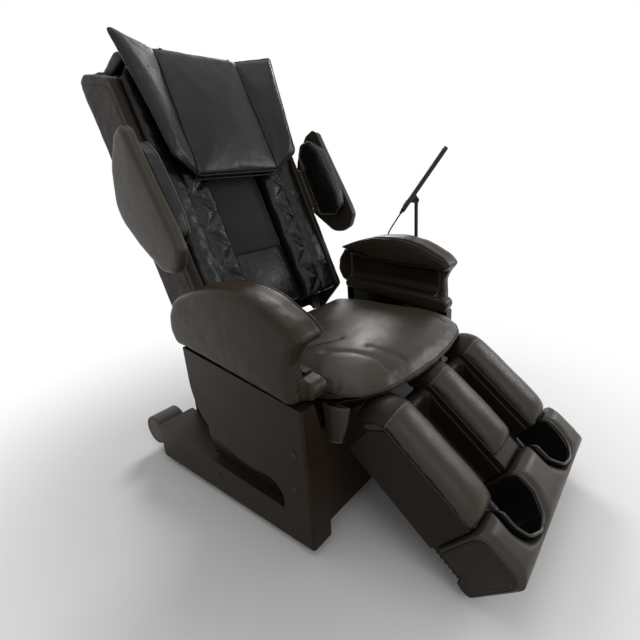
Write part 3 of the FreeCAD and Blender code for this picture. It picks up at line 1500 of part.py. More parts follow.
def calf_pad(x0, x1, ridge, crown_end, lower_end):
    """A crowned pad that rolls over the knee about the hinge and rounds off at its foot end."""
    first = leg_section(0, x0, x1, ridge, KNEE_RADIUS)
    straight = Part.Face(first).extrude(Vec(0, -crown_end + 1, 0))
    knee = Part.Face(first).revolve(Vec(0, 0, 0), Vec(1, 0, 0), -100)
    end = loft([
        leg_section(crown_end - 1, x0, x1, ridge, KNEE_RADIUS),
        leg_section(crown_end + (lower_end - crown_end) * 0.55, x0, x1, ridge, KNEE_RADIUS - 12),
        leg_section(lower_end, x0, x1, ridge, LEG_PIPING + 8),
    ])
    return straight, knee, end


def leg_block(x0, x1, end):
    """The pad's straight-sided lower part."""
    foot = LEG_BOTTOM + TRAY + GAP
    return prism_x(
        on_leg([
            (-LEG_BLOCK_REAR, 0),
            (-LEG_BLOCK_REAR, foot),
            (end, foot),
            (end, LEG_PIPING),
            (0, LEG_PIPING),
            ((-LEG_BLOCK_REAR * 0.707, LEG_PIPING * 0.707), (-LEG_BLOCK_REAR, 0)),
        ]),
        x0,
        x1,
    )


def legrest_outer_pad():
    x0 = OUTER_PAD_INNER
    x1 = LEG_HALF_WIDTH
    crown = calf_pad(x0, x1, OUTER_PAD_RIDGE, OUTER_CROWN_END, LEG_END)
    return fused(leg_block(x0, x1, LEG_END), *crown)


def legrest_centre_pad():
    half = CENTRE_PAD_HALF
    crown = calf_pad(-half, half, 0, CENTRE_CROWN_END - 34, CENTRE_CROWN_END)
    return fused(leg_block(-half, half, LEG_END), *crown)


def legrest_frame():
    """The tray under the pads with its hinge lugs, calf troughs, lever plates and slide sleeves."""
    low = LEG_BOTTOM
    tray = box(-LEG_HALF_WIDTH + 4, LEG_HALF_WIDTH - 4, 18, -LEG_END, low, low + TRAY)
    parts = [tray]
    lug = [
        (-16, low),
        (-12, 0),
        ((0, 12), (12, 0)),
        (34, low),
    ]
    near_face = BRACKET_X - BRACKET_WIDTH / 2 - GAP
    far_face = BRACKET_X + BRACKET_WIDTH / 2 + GAP
    pin_start = near_face - 8
    floor_low = CHANNEL_FLOOR - 4
    half_parts = [
        prism_x(on_leg(lug), pin_start, near_face),
        prism_x(on_leg(lug), far_face, far_face + 8),
        rod((pin_start, 0, 0), (far_face + 8, 0, 0), LEG_PIN_RADIUS),
        box(CENTRE_PAD_HALF + 1, OUTER_PAD_INNER - 1, -CHANNEL_START, -LEG_END, floor_low, CHANNEL_FLOOR),
        box(BRACKET_X - 2, BRACKET_X + 2, -CHANNEL_START - 10, -LEG_END + 4, low + TRAY - 1, floor_low + 1),
        box(SLIDE_ROD_X - 11, SLIDE_ROD_X + 11, -SLEEVE_START, -LEG_END + 2, low + TRAY - 1, floor_low + 1),
    ]
    for piece in half_parts:
        parts += [piece, mirrored(piece)]
    slope = math.radians(LEG_SLOPE)
    swing = math.radians(LEG_RANGE / 2)
    pin_u = -LEG_LEVER * math.sin(swing - slope)
    pin_v = -LEG_LEVER * math.cos(swing - slope)
    gap = TONGUE / 2 + 2
    for x0 in (LEG_ACTUATOR_X - gap - LEVER_PLATE, LEG_ACTUATOR_X + gap):
        parts.append(prism_x(
            on_leg([
                (pin_u - 20, low + 1),
                (pin_u - 8, pin_v - 2),
                ((pin_u, pin_v - 8), (pin_u + 8, pin_v - 2)),
                (pin_u + 20, low + 1),
            ]),
            x0,
            x0 + LEVER_PLATE,
        ))
    half = gap + LEVER_PLATE
    parts.append(rod((LEG_ACTUATOR_X - half, -pin_u, pin_v), (LEG_ACTUATOR_X + half, -pin_u, pin_v),
                     LEVER_PIN_RADIUS))
    bores = [
        rod(
            (s * SLIDE_ROD_X, -SLEEVE_START + 10, SLIDE_ROD_V),
            (s * SLIDE_ROD_X, -LEG_END - 1, SLIDE_ROD_V),
            SLIDE_ROD_RADIUS + RUNNING_GAP,
        )
        for s in (-1, 1)
    ]
    return cut(fused(*parts), *bores)


# Foot box

def well_outline(grow):
    """Plan of a foot well as (x, y) points, narrowing to a rounded tip."""
    x0 = WELL_INNER - grow
    x1 = WELL_OUTER + grow
    return [
        (x0, -FOOT_START + 1 + grow),
        (x0, -WELL_SHOULDER),
        ((WELL_TIP_X - 42, -WELL_TIP + 8 - grow), (WELL_TIP_X, -WELL_TIP - grow)),
        ((WELL_TIP_X + 40, -WELL_TIP + 10 - grow), (x1, -WELL_SHOULDER)),
        (x1, -FOOT_START + 1 + grow),
    ]


def foot_box():
    """The foot box with its two wells and the rods that slide in the leg rest."""
    side = on_leg([
        (FOOT_START, FOOT_NOTCH_V),
        (FOOT_START + 1, FOOT_TOP - 22),
        ((FOOT_START + 8, FOOT_TOP - 6), (FOOT_START + 24, FOOT_TOP)),
        (FOOT_END - 30, FOOT_TOP + 1),
        ((FOOT_END - 9, FOOT_TOP - 7), (FOOT_END, FOOT_TOP - 28)),
        (FOOT_END - 14, FOOT_BOTTOM + 8),
        ((FOOT_END - 18, FOOT_BOTTOM + 2), (FOOT_END - 26, FOOT_BOTTOM)),
        (FOOT_NOTCH_START, FOOT_BOTTOM),
        (FOOT_NOTCH_START, FOOT_NOTCH_V),
    ])
    solid = prism_x(side, -FOOT_HALF_WIDTH, FOOT_HALF_WIDTH)
    solid = rounded(
        solid,
        9.0,
        lambda m: near(abs(m.x), FOOT_HALF_WIDTH) and m.z > FOOT_NOTCH_V + 20,
    )
    wells = [prism_z(well_outline(LINER + GAP), WELL_FLOOR - LINER - GAP, FOOT_TOP + 5)]
    wells.append(mirrored(wells[0]))
    rod_end = -(SLEEVE_START - SLEEVE_OVERLAP - FOOT_TRAVEL)
    rods = []
    for x in (-SLIDE_ROD_X, SLIDE_ROD_X):
        rods.append(rod((x, -FOOT_START - 40, SLIDE_ROD_V), (x, rod_end, SLIDE_ROD_V), SLIDE_ROD_RADIUS))
    return fused(cut(solid, *wells), *rods)


def foot_well_liner():
    outer = prism_z(well_outline(LINER), WELL_FLOOR - LINER, FOOT_TOP - 6)
    inner = prism_z(well_outline(0), WELL_FLOOR, FOOT_TOP)
    mouth = box(WELL_INNER, WELL_OUTER, -FOOT_START + 20, -FOOT_START - 10, WELL_FLOOR, FOOT_TOP)
    front = box(0, FOOT_HALF_WIDTH, 0, -FOOT_START - GAP, WELL_FLOOR - 20, FOOT_TOP)
    return cut(outer, inner, mouth, front)


def foot_side_panel():
    return prism_x(
        on_leg([
            (FOOT_START + PANEL_MARGIN, FOOT_NOTCH_V + PANEL_MARGIN),
            (FOOT_START + PANEL_MARGIN, FOOT_TOP - 30),
            ((FOOT_START + 12, FOOT_TOP - 18), (FOOT_START + 26, FOOT_TOP - 12)),
            (FOOT_END - 36, FOOT_TOP - 12),
            ((FOOT_END - 18, FOOT_TOP - 18), (FOOT_END - 10, FOOT_TOP - 34)),
            (FOOT_END - 23, FOOT_BOTTOM + 10),
            (FOOT_NOTCH_START + PANEL_MARGIN, FOOT_BOTTOM + PANEL_MARGIN),
            (FOOT_NOTCH_START + PANEL_MARGIN, FOOT_NOTCH_V + PANEL_MARGIN),
        ]),
        FOOT_HALF_WIDTH + GAP,
        FOOT_HALF_WIDTH + 3,
    )


def bumper_feet():
    feet = []
    y = -FOOT_END + 38
    outer_x = FOOT_HALF_WIDTH - BUMPER_INSET
    for x in (-outer_x, -BUMPER_INNER_X, BUMPER_INNER_X, outer_x):
        feet.append(rod((x, y, FOOT_BOTTOM), (x, y, FOOT_BOTTOM - BUMPER_HEIGHT), BUMPER_RADIUS))
    return group(feet)


def foot_bellows():
    """Folded rubber between the leg rest's tray and the foot box's notch."""
    start = LEG_END + GAP
    end = FOOT_NOTCH_START - GAP
    top = FOOT_NOTCH_V - GAP
    low = LEG_BOTTOM
    pitch = (end - start) / BELLOWS_FOLDS
    points = [(start, top - 2)]
    for i in range(BELLOWS_FOLDS):
        u = start + i * pitch
        points += [(u + pitch / 2, top), (u + pitch, top - 2)]
    lower = [(end, low + 3)]
    for i in range(BELLOWS_FOLDS):
        u = end - i * pitch
        lower += [(u - pitch / 2, low), (u - pitch, low + 3)]
    return prism_x(on_leg(points + lower), -LEG_HALF_WIDTH + 5, LEG_HALF_WIDTH - 5)


# Controller

def controller_bracket():
    """The block on the side panel that the controller's post turns in."""
    x0 = BASE_HALF_WIDTH + GAP
    top = arm_bottom(POST_Y) - 12
    low = POST_LOW - 6
    block = rounded(box(x0, POST_X + 14, POST_Y - 20, POST_Y + 20, low, top), 9.0,
                    lambda m: near(m.x, POST_X + 14) and abs(m.z - (low + top) / 2) < 5)
    bore = rod((POST_X, POST_Y, POST_LOW), (POST_X, POST_Y, top + 1), POST_RADIUS + RUNNING_GAP)
    return cut(block, bore)


def controller_post():
    """The post with a collar, a cable gland and the eye that the controller tilts on."""
    low = POST_LOW + GAP
    stem = Part.makeCylinder(POST_RADIUS, TILT_Z - 20 - low, Vec(0, 0, low))
    collar_z = arm_bottom(POST_Y) - 12 + GAP
    collar = Part.makeCylinder(POST_RADIUS + 5, 10, Vec(0, 0, collar_z))
    eye = rod((-4, 0, TILT_Z), (4, 0, TILT_Z), 10)
    eye_hole = rod((-5, 0, TILT_Z), (5, 0, TILT_Z), 4 + RUNNING_GAP)
    neck = box(-4, 4, -6, 6, TILT_Z - 22, TILT_Z - 6)
    post = turn_post(cut(fused(stem, collar, eye, neck), eye_hole))
    gland = rod((POST_X, POST_Y, CABLE_END_Z), (POST_X, POST_Y + GLAND_LENGTH, CABLE_END_Z), CABLE_RADIUS + 3)
    return fused(post, gland)


def controller_knob():
    shaft = rod((-13, 0, 0), (13, 0, 0), 4)
    head = rod((12 + GAP, 0, 0), (27, 0, 0), 9.5)
    head = rounded(head, 3.0, lambda m: near(m.x, 27))
    grip = box(26, 31, -2.5, 2.5, -8, 8)
    return aim_controller(fused(shaft, head, grip))


def controller_housing():
    """The flat case with its frame around the screen, button wells and tilt lugs."""
    y0 = HEAD_OFFSET
    y1 = HEAD_OFFSET + HEAD_THICKNESS
    half = HEAD_WIDTH / 2
    case = box(-half, half, y0, y1, HEAD_LOW, HEAD_HIGH)
    case = rounded(case, 12.0, lambda m: near(abs(m.x), half) and near(m.y, (y0 + y1) / 2))
    case = rounded(case, 3.0, lambda m: near(m.y, y0) or near(m.y, y1))
    lugs = []
    for side in (-1, 1):
        lug = prism_x([(y0 + 1, -16), (0, -9), ((-9, 0), (0, 9)), (y0 + 1, 16)], side * (4 + GAP), side * 12)
        lugs.append(lug.cut(rod((side * 3, 0, 0), (side * 13, 0, 0), 4 + RUNNING_GAP)))
    screen = box(-half + 12, half - 12, y1 - 2, y1 + 1, SCREEN_LOW, HEAD_HIGH - 14)
    wells = [
        rod((x, y1 - BUTTON_DEPTH - BUTTON_TRAVEL - 0.5, BUTTON_Z), (x, y1 + 1, BUTTON_Z), BUTTON_RADIUS + GAP)
        for x in (-BUTTON_X, BUTTON_X)
    ]
    return aim_controller(cut(fused(case, *lugs), screen, *wells))


def controller_screen():
    y1 = HEAD_OFFSET + HEAD_THICKNESS
    half = HEAD_WIDTH / 2 - 12 - GAP
    return aim_controller(box(-half, half, y1 - 2 + GAP / 2, y1 - 0.2, SCREEN_LOW + GAP, HEAD_HIGH - 14 - GAP))


def controller_button(x):
    y1 = HEAD_OFFSET + HEAD_THICKNESS
    cap = rod((x, y1 - BUTTON_DEPTH, BUTTON_Z), (x, y1 + 2, BUTTON_Z), BUTTON_RADIUS)
    return aim_controller(rounded(cap, 1.0, lambda m: near(m.y, y1 + 2)))


def cable_relief():
    y = HEAD_OFFSET + HEAD_THICKNESS / 2
    sleeve = Part.makeCone(6.0, 4.0, 16, Vec(0, y, HEAD_LOW - GAP), Vec(0, 0, -1))
    return aim_controller(sleeve)


def controller_cable():
    path, radii = smooth_route(CABLE_ROUTE)
    print("controller cable radii", radii, "length", round(path.Length, 1))
    start = Vec(*CABLE_ROUTE[0])
    circle = Part.Circle(start, Vec(*CABLE_ROUTE[1]) - start, CABLE_RADIUS)
    return path.makePipeShell([Part.Wire([circle.toShape()])], True, False)


def both(name, shape):
    return {f"{name}_left": shape, f"{name}_right": mirrored(shape)}


def make_nodes():
    leg_motor, leg_rod = leg_actuator()
    back_motor, back_rod = back_actuator()
    nodes = {
        "base_frame": base_frame(),
        "floor_glides": floor_glides(),
        "inner_side_shells": pair(inner_side_shell()),
        "front_fascia": front_fascia(),
        "rear_base_cover": rear_base_cover(),
        "power_panel": power_panel(),
        "power_switch": power_switch(),
        "side_screw_caps": side_screw_caps(),
        "legrest_motor": leg_motor,
        "legrest_rod": leg_rod,
        "recline_motor": back_motor,
        "recline_rod": back_rod,
        "air_supply": air_supply(),
        "control_box": control_box(),
        "roller_axles": pair(roller_axle()),
        "seat_pan": seat_pan(),
        "seat_cushion": seat_cushion(),
        "back_frame": lean_back(back_frame()),
        "back_rear_shell": lean_back(back_rear_shell()),
        "back_centre_pad": lean_back(back_centre_pad()),
        "back_lumbar_pad": lean_back(back_lumbar_pad()),
        "carriage_screw": lean_back(carriage_screw()),
        "carriage_chassis": lean_back(carriage_chassis()),
        "head_pillow": lean_back(head_pillow()),
        "shoulder_support_pads": lean_back(pair(shoulder_pad())),
        "legrest_frame": slope_leg(legrest_frame()),
        "legrest_outer_pads": slope_leg(pair(legrest_outer_pad())),
        "legrest_centre_pad": slope_leg(legrest_centre_pad()),
        "foot_box": slope_leg(foot_box()),
        "foot_well_liners": slope_leg(pair(foot_well_liner())),
        "foot_side_panels": slope_leg(pair(foot_side_panel())),
        "bumper_feet": slope_leg(bumper_feet()),
        "foot_bellows": slope_leg(foot_bellows()),
        "controller_bracket": controller_bracket(),
        "controller_post": controller_post(),
        "controller_knob": controller_knob(),
        "controller_housing": controller_housing(),
        "controller_screen": controller_screen(),
        "power_button": controller_button(-BUTTON_X),
        "stop_button": controller_button(BUTTON_X),
        "cable_relief": cable_relief(),
        "controller_cable": controller_cable(),
    }
    nodes.update(both("lower_side_cover", lower_side_cover()))
    nodes.update(both("upper_side_panel", upper_side_panel()))
    nodes.update(both("armrest_shell", armrest_shell()))
    nodes.update(both("armrest_lower_pad", armrest_lower_pad()))
    nodes.update(both("transport_roller", transport_roller()))
    nodes.update(both("back_side_pad", lean_back(back_side_pad())))
    nodes.update(both("shoulder_support", lean_back(shoulder_support())))
    nodes.update(both("roller_arm", lean_back(roller_arm())))
    nodes.update(both("massage_roller", lean_back(massage_roller())))
    return nodes


def export(nodes):
    os.makedirs("parts", exist_ok=True)
    for name, shape in nodes.items():
        shape.exportStep(f"parts/{name}.step")


export(make_nodes())
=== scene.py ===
import json
import math

import bmesh
import bpy
import numpy as np
from mathutils import Matrix, Vector, noise
from mathutils.bvhtree import BVHTree
from mathutils.kdtree import KDTree


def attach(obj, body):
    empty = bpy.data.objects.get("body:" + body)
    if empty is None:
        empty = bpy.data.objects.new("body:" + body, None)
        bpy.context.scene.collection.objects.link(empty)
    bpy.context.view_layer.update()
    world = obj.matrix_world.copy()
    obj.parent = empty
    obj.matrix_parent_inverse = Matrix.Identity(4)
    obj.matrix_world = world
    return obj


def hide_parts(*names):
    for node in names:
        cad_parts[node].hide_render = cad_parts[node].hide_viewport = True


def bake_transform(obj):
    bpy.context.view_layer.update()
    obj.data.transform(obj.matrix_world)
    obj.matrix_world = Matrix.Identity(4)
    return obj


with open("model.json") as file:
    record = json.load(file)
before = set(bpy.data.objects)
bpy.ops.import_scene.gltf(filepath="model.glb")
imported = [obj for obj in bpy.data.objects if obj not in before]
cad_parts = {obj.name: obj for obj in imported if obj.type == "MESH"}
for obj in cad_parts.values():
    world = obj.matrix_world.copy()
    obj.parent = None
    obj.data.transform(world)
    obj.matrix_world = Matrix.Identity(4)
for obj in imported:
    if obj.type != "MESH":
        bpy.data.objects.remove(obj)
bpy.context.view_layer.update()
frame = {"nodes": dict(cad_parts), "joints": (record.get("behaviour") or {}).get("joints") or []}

NODES = frame["nodes"]
JOINTS = {joint["name"]: joint for joint in frame["joints"]}
MM = 0.001

# Angles of the leaning back and the sloping leg rest, in degrees
BACK_LEAN = 22.5
LEG_SLOPE = 40.0
SIDES = {"left": 1, "right": -1}


class Place:
    """A frame of the chair: turns millimetres along its three axes into metres in the shared frame."""

    def __init__(self, origin, second, third):
        self.origin = np.array(origin, float)
        self.axes = np.array([(1.0, 0.0, 0.0), second, third])

    def __call__(self, a, b, c):
        a, b, c = np.broadcast_arrays(*(np.asarray(value, float) for value in (a, b, c)))
        return self.origin + MM * (np.stack([a, b, c], -1) @ self.axes)

    def local(self, points):
        """Millimetres along the three axes from points in metres."""
        return (points - self.origin) @ self.axes.T / MM


def leaning(origin, degrees):
    """Second axis tips down towards the back as the third leans backwards."""
    angle = math.radians(degrees)
    return Place(origin, (0, math.cos(angle), -math.sin(angle)), (0, math.sin(angle), math.cos(angle)))


def sloping(origin, degrees):
    """Second axis runs down and forwards, third stands on the slope."""
    angle = math.radians(degrees)
    return Place(origin, (0, -math.cos(angle), -math.sin(angle)), (0, -math.sin(angle), math.cos(angle)))


CHAIR = Place((0, 0, 0), (0, 1, 0), (0, 0, 1))
BACK = leaning(JOINTS["recline"]["pos_m"], BACK_LEAN)
LEG = sloping(JOINTS["legrest_swing"]["pos_m"], LEG_SLOPE)


# Materials

def new_material(name):
    material = bpy.data.materials.new(name)
    material.use_nodes = True
    return material, material.node_tree.nodes, material.node_tree.links


def texture(nodes, links, kind, scale, **settings):
    """A texture node on object coordinates, so that it stays with its piece."""
    coordinates = nodes.get("Texture Coordinate") or nodes.new("ShaderNodeTexCoord")
    node = nodes.new(kind)
    links.new(coordinates.outputs["Object"], node.inputs["Vector"])
    node.inputs["Scale"].default_value = scale
    for key, value in settings.items():
        if key in node.inputs:
            node.inputs[key].default_value = value
        else:
            setattr(node, key, value)
    return node


def ramp(nodes, links, source, low, high, start=0.3, end=0.7):
    """Maps a grey value to a colour or number between low and high."""
    node = nodes.new("ShaderNodeValToRGB")
    node.color_ramp.elements[0].position = start
    node.color_ramp.elements[1].position = end
    for element, value in zip(node.color_ramp.elements, (low, high)):
        element.color = (*value, 1) if isinstance(value, tuple) else (value, value, value, 1)
    links.new(source, node.inputs["Fac"])
    return node.outputs["Color"]


def blended(nodes, links, kind, factor, a, b):
    node = nodes.new("ShaderNodeMix")
    node.data_type = "RGBA"
    node.blend_type = kind
    node.inputs["Factor"].default_value = factor
    links.new(a, node.inputs[6])
    links.new(b, node.inputs[7])
    return node.outputs[2]


def bumped(nodes, links, heights):
    """Stacks bump nodes: each entry is a height output, a strength and a depth in metres."""
    normal = None
    for height, strength, depth in heights:
        node = nodes.new("ShaderNodeBump")
        node.inputs["Strength"].default_value = strength
        node.inputs["Distance"].default_value = depth
        links.new(height, node.inputs["Height"])
        if normal is not None:
            links.new(normal, node.inputs["Normal"])
        normal = node.outputs["Normal"]
    return normal


def leather(name, base, deep, gloss, specular=0.35):
    """Grained leather: pebbled cells, fine pores, long creases, uneven dye, edges lightened as rubbed wear
    and hollows darkened as painted shade.
    """
    material, nodes, links = new_material(name)
    shader = nodes["Principled BSDF"]
    cells = texture(nodes, links, "ShaderNodeTexVoronoi", 520.0, feature="DISTANCE_TO_EDGE")
    pores = texture(nodes, links, "ShaderNodeTexNoise", 900.0, Detail=3.0)
    creases = texture(nodes, links, "ShaderNodeTexNoise", 38.0, Detail=7.0, Roughness=0.62, Distortion=0.6)
    clouds = texture(nodes, links, "ShaderNodeTexNoise", 5.0, Detail=4.0)
    dye = ramp(nodes, links, clouds.outputs["Fac"], deep, base, 0.3, 0.68)
    geometry = nodes.new("ShaderNodeNewGeometry")
    # Pointiness: convex edges lighter as rubbed wear, concave hollows and creases darker as painted shade.
    edge_wear_and_hollow_shade = ramp(nodes, links, geometry.outputs["Pointiness"], (0.72, 0.7, 0.68), (1.3, 1.28, 1.26), 0.42, 0.6)
    mottled = ramp(nodes, links, creases.outputs["Fac"], (0.95, 0.95, 0.95), (1.04, 1.04, 1.04), 0.35, 0.65)
    colour = blended(nodes, links, "MULTIPLY", 1.0, dye, edge_wear_and_hollow_shade)
    colour = blended(nodes, links, "MULTIPLY", 1.0, colour, mottled)
    links.new(colour, shader.inputs["Base Color"])
    rough = ramp(nodes, links, creases.outputs["Fac"], gloss[1], gloss[0], 0.35, 0.66)
    links.new(rough, shader.inputs["Roughness"])
    cell_height = ramp(nodes, links, cells.outputs["Distance"], 0.0, 1.0, 0.0, 0.16)
    normal = bumped(nodes, links, [
        (creases.outputs["Fac"], 0.1, 0.0006),
        (cell_height, 0.3, 0.00022),
        (pores.outputs["Fac"], 0.12, 0.00012),
    ])
    links.new(normal, shader.inputs["Normal"])
    shader.inputs["Specular IOR Level"].default_value = specular
    return material


def moulded(name, base, roughness, specular=0.4, depth=0.00008, mottle=0.1):
    """Moulded plastic, rubber or paint with a fine grain, faint uneven gloss, edges lightened as rubbed wear
    and hollows a little darkened as painted shade.
    """
    material, nodes, links = new_material(name)
    shader = nodes["Principled BSDF"]
    fine = texture(nodes, links, "ShaderNodeTexNoise", 700.0, Detail=2.0)
    broad = texture(nodes, links, "ShaderNodeTexNoise", 9.0, Detail=5.0)
    low = tuple(c * (1 - mottle) for c in base)
    high = tuple(c * (1 + mottle) for c in base)
    tint = ramp(nodes, links, broad.outputs["Fac"], low, high)
    geometry = nodes.new("ShaderNodeNewGeometry")
    # Pointiness: convex edges lighter as rubbed wear, concave hollows a little darker as painted shade.
    edge_wear_and_hollow_shade = ramp(nodes, links, geometry.outputs["Pointiness"], (0.9, 0.9, 0.9), (1.5, 1.48, 1.45), 0.49, 0.62)
    links.new(blended(nodes, links, "MULTIPLY", 1.0, tint, edge_wear_and_hollow_shade), shader.inputs["Base Color"])
    rough = ramp(nodes, links, broad.outputs["Fac"], roughness * 0.9, min(1.0, roughness * 1.12))
    links.new(rough, shader.inputs["Roughness"])
    links.new(bumped(nodes, links, [(fine.outputs["Fac"], 0.35, depth)]), shader.inputs["Normal"])
    shader.inputs["Specular IOR Level"].default_value = specular
    return material


def steel(name, base, roughness):
    """Ground steel with fine marks along the surface."""
    material, nodes, links = new_material(name)
    shader = nodes["Principled BSDF"]
    marks = texture(nodes, links, "ShaderNodeTexNoise", 260.0, Detail=4.0)
    tint = ramp(nodes, links, marks.outputs["Fac"], tuple(c * 0.85 for c in base), base)
    links.new(tint, shader.inputs["Base Color"])
    rough = ramp(nodes, links, marks.outputs["Fac"], roughness * 0.8, roughness * 1.25)
    links.new(rough, shader.inputs["Roughness"])
    links.new(bumped(nodes, links, [(marks.outputs["Fac"], 0.15, 0.0001)]), shader.inputs["Normal"])
    shader.inputs["Metallic"].default_value = 1.0
    return material


def woven(name, thread, gap):
    """A close matt weave: two crossed wave patterns with fuzz."""
    material, nodes, links = new_material(name)
    shader = nodes["Principled BSDF"]
    warp = texture(nodes, links, "ShaderNodeTexWave", 260.0, bands_direction="X", Distortion=0.6, Detail=1.0)
    weft = texture(nodes, links, "ShaderNodeTexWave", 260.0, bands_direction="Z", Distortion=0.6, Detail=1.0)
    fuzz = texture(nodes, links, "ShaderNodeTexNoise", 420.0, Detail=4.0)
    height = blended(nodes, links, "LIGHTEN", 1.0, warp.outputs["Color"], weft.outputs["Color"])
    colour = ramp(nodes, links, height, gap, thread, 0.2, 0.8)
    soft = ramp(nodes, links, fuzz.outputs["Fac"], (0.8, 0.8, 0.8), (1.15, 1.15, 1.15))
    links.new(blended(nodes, links, "MULTIPLY", 1.0, colour, soft), shader.inputs["Base Color"])
    links.new(bumped(nodes, links, [(height, 0.5, 0.0003), (fuzz.outputs["Fac"], 0.2, 0.0002)]),
              shader.inputs["Normal"])
    shader.inputs["Roughness"].default_value = 0.85
    shader.inputs["Specular IOR Level"].default_value = 0.2
    shader.inputs["Sheen Weight"].default_value = 0.25
    shader.inputs["Sheen Roughness"].default_value = 0.5
    return material


def dark_glass(name):
    material, nodes, links = new_material(name)
    shader = nodes["Principled BSDF"]
    smears = texture(nodes, links, "ShaderNodeTexNoise", 22.0, Detail=5.0)
    links.new(ramp(nodes, links, smears.outputs["Fac"], 0.04, 0.14), shader.inputs["Roughness"])
    links.new(ramp(nodes, links, smears.outputs["Fac"], (0.008, 0.009, 0.011), (0.014, 0.015, 0.018)),
              shader.inputs["Base Color"])
    shader.inputs["Coat Weight"].default_value = 0.6
    shader.inputs["Coat Roughness"].default_value = 0.05
    return material


TAUPE = leather("taupe_leather", (0.044, 0.035, 0.026), (0.038, 0.030, 0.022),
                gloss=(0.29, 0.38), specular=0.24)
# A darker copy of the taupe leather for the armrests: painted shade for their sides that face away from the
# lamps.
ARMREST_SHADED_LEATHER = leather("armrest_shaded_leather", (0.030, 0.021, 0.013), (0.025, 0.017, 0.010),
                  gloss=(0.3, 0.4), specular=0.18)
# A darker copy of the taupe leather for side faces: painted shade.
SHADED_SIDE_TAUPE = leather("shaded_side_leather", (0.026, 0.020, 0.015), (0.021, 0.016, 0.012),
                     gloss=(0.34, 0.45), specular=0.18)
# A darker copy of the leather for the sides, undersides, troughs and rear shell: painted shade.
SHADED_BROWN = leather("shaded_dark_brown_leather", (0.018, 0.012, 0.008), (0.014, 0.009, 0.006),
                gloss=(0.38, 0.5), specular=0.15)
BLACK = leather("black_leather", (0.0085, 0.008, 0.008), (0.0065, 0.006, 0.006),
                gloss=(0.26, 0.36), specular=0.24)
CLOTH = woven("strip_cloth", (0.022, 0.020, 0.019), (0.008, 0.0075, 0.007))
PIPING = leather("piping_leather", (0.010, 0.008, 0.0065), (0.006, 0.005, 0.004),
                 gloss=(0.3, 0.42), specular=0.22)
# Light grey welts: painted highlight along the rims of the pads, the apron bowls and the knee strips.
HIGHLIGHT_PIPING = leather("highlight_piping_leather", (0.07, 0.066, 0.062), (0.045, 0.041, 0.038),
                        gloss=(0.25, 0.36))
THREAD = woven("thread", (0.05, 0.043, 0.034), (0.02, 0.017, 0.014))
BLACK_THREAD = woven("black_thread", (0.02, 0.02, 0.02), (0.008, 0.008, 0.008))
COVER = moulded("cover_plastic", (0.022, 0.0135, 0.0075), 0.4, specular=0.13, mottle=0.05)
PANEL = moulded("panel_plastic", (0.017, 0.0105, 0.0065), 0.32, specular=0.14, mottle=0.05)
INNER = moulded("inner_shell_plastic", (0.010, 0.009, 0.008), 0.34, specular=0.3)
ROLLER = moulded("roller_plastic", (0.062, 0.052, 0.043), 0.5, specular=0.25)
GLOSS_BLACK = moulded("gloss_black_plastic", (0.008, 0.008, 0.0085), 0.2, specular=0.4, depth=0.00002)
SATIN_BLACK = moulded("satin_black_plastic", (0.012, 0.012, 0.013), 0.42, specular=0.3)
RUBBER = moulded("black_rubber", (0.012, 0.0115, 0.011), 0.72, specular=0.2, depth=0.00015)
PAINT = moulded("black_paint", (0.018, 0.018, 0.019), 0.4, specular=0.3)
BRIGHT = steel("ground_steel", (0.56, 0.56, 0.57), 0.3)
GLASS = dark_glass("screen_glass")
BUTTON = moulded("button_plastic", (0.3, 0.3, 0.31), 0.3, specular=0.5)
STOP = moulded("stop_button_plastic", (0.35, 0.03, 0.025), 0.3, specular=0.5)


# Paths and meshes

def smoothstep(low, high, value):
    t = np.clip((np.asarray(value, float) - low) / (high - low), 0.0, 1.0)
    return t * t * (3 - 2 * t)


def unit(vectors):
    return vectors / np.maximum(np.linalg.norm(vectors, axis=-1, keepdims=True), 1e-12)


def resample(path, count, closed=False):
    """Evenly spaced points along a path."""
    path = np.asarray(path, float)
    if closed:
        path = np.vstack([path, path[:1]])
    along = np.concatenate([[0.0], np.cumsum(np.linalg.norm(np.diff(path, axis=0), axis=1))])
    wanted = np.linspace(0.0, along[-1], count, endpoint=not closed)
    return np.stack([np.interp(wanted, along, column) for column in path.T], -1)


def rounded(corners, count=96, closed=True):
    """Evenly spaced points along an outline, each corner rounded by the radius that ends it."""
    corners = np.array(corners, float)
    points, radii = corners[:, :-1], corners[:, -1]
    share = np.linspace(0.0, 1.0, 9)[:, None]
    path = []
    for i, (here, radius) in enumerate(zip(points, radii)):
        if not closed and i in (0, len(points) - 1):
            path.append(here[None])
            continue
        to_before = points[i - 1] - here
        to_after = points[(i + 1) % len(points)] - here
        shorter = min(np.linalg.norm(to_before), np.linalg.norm(to_after))
        turn = math.pi - math.acos(np.clip(unit(to_before) @ unit(to_after), -1.0, 1.0))
        reach = min(radius * math.tan(turn / 2), 0.48 * shorter)
        start = here + unit(to_before) * reach
        end = here + unit(to_after) * reach
        path.append((1 - share) ** 2 * start + 2 * share * (1 - share) * here + share ** 2 * end)
    return resample(np.vstack(path), count, closed)


def inset(ring, centre, distance):
    """The outline drawn in towards a centre that sees all of it."""
    tangent = np.roll(ring, -1, 0) - np.roll(ring, 1, 0)
    normal = unit(np.stack([tangent[:, 1], -tangent[:, 0]], -1))
    spoke = ring - centre
    length = np.linalg.norm(spoke, axis=1)
    direction = spoke / length[:, None]
    facing = np.maximum(np.abs((normal * direction).sum(1)), 0.45)
    return ring - direction * np.minimum(distance / facing, 0.9 * length)[:, None]


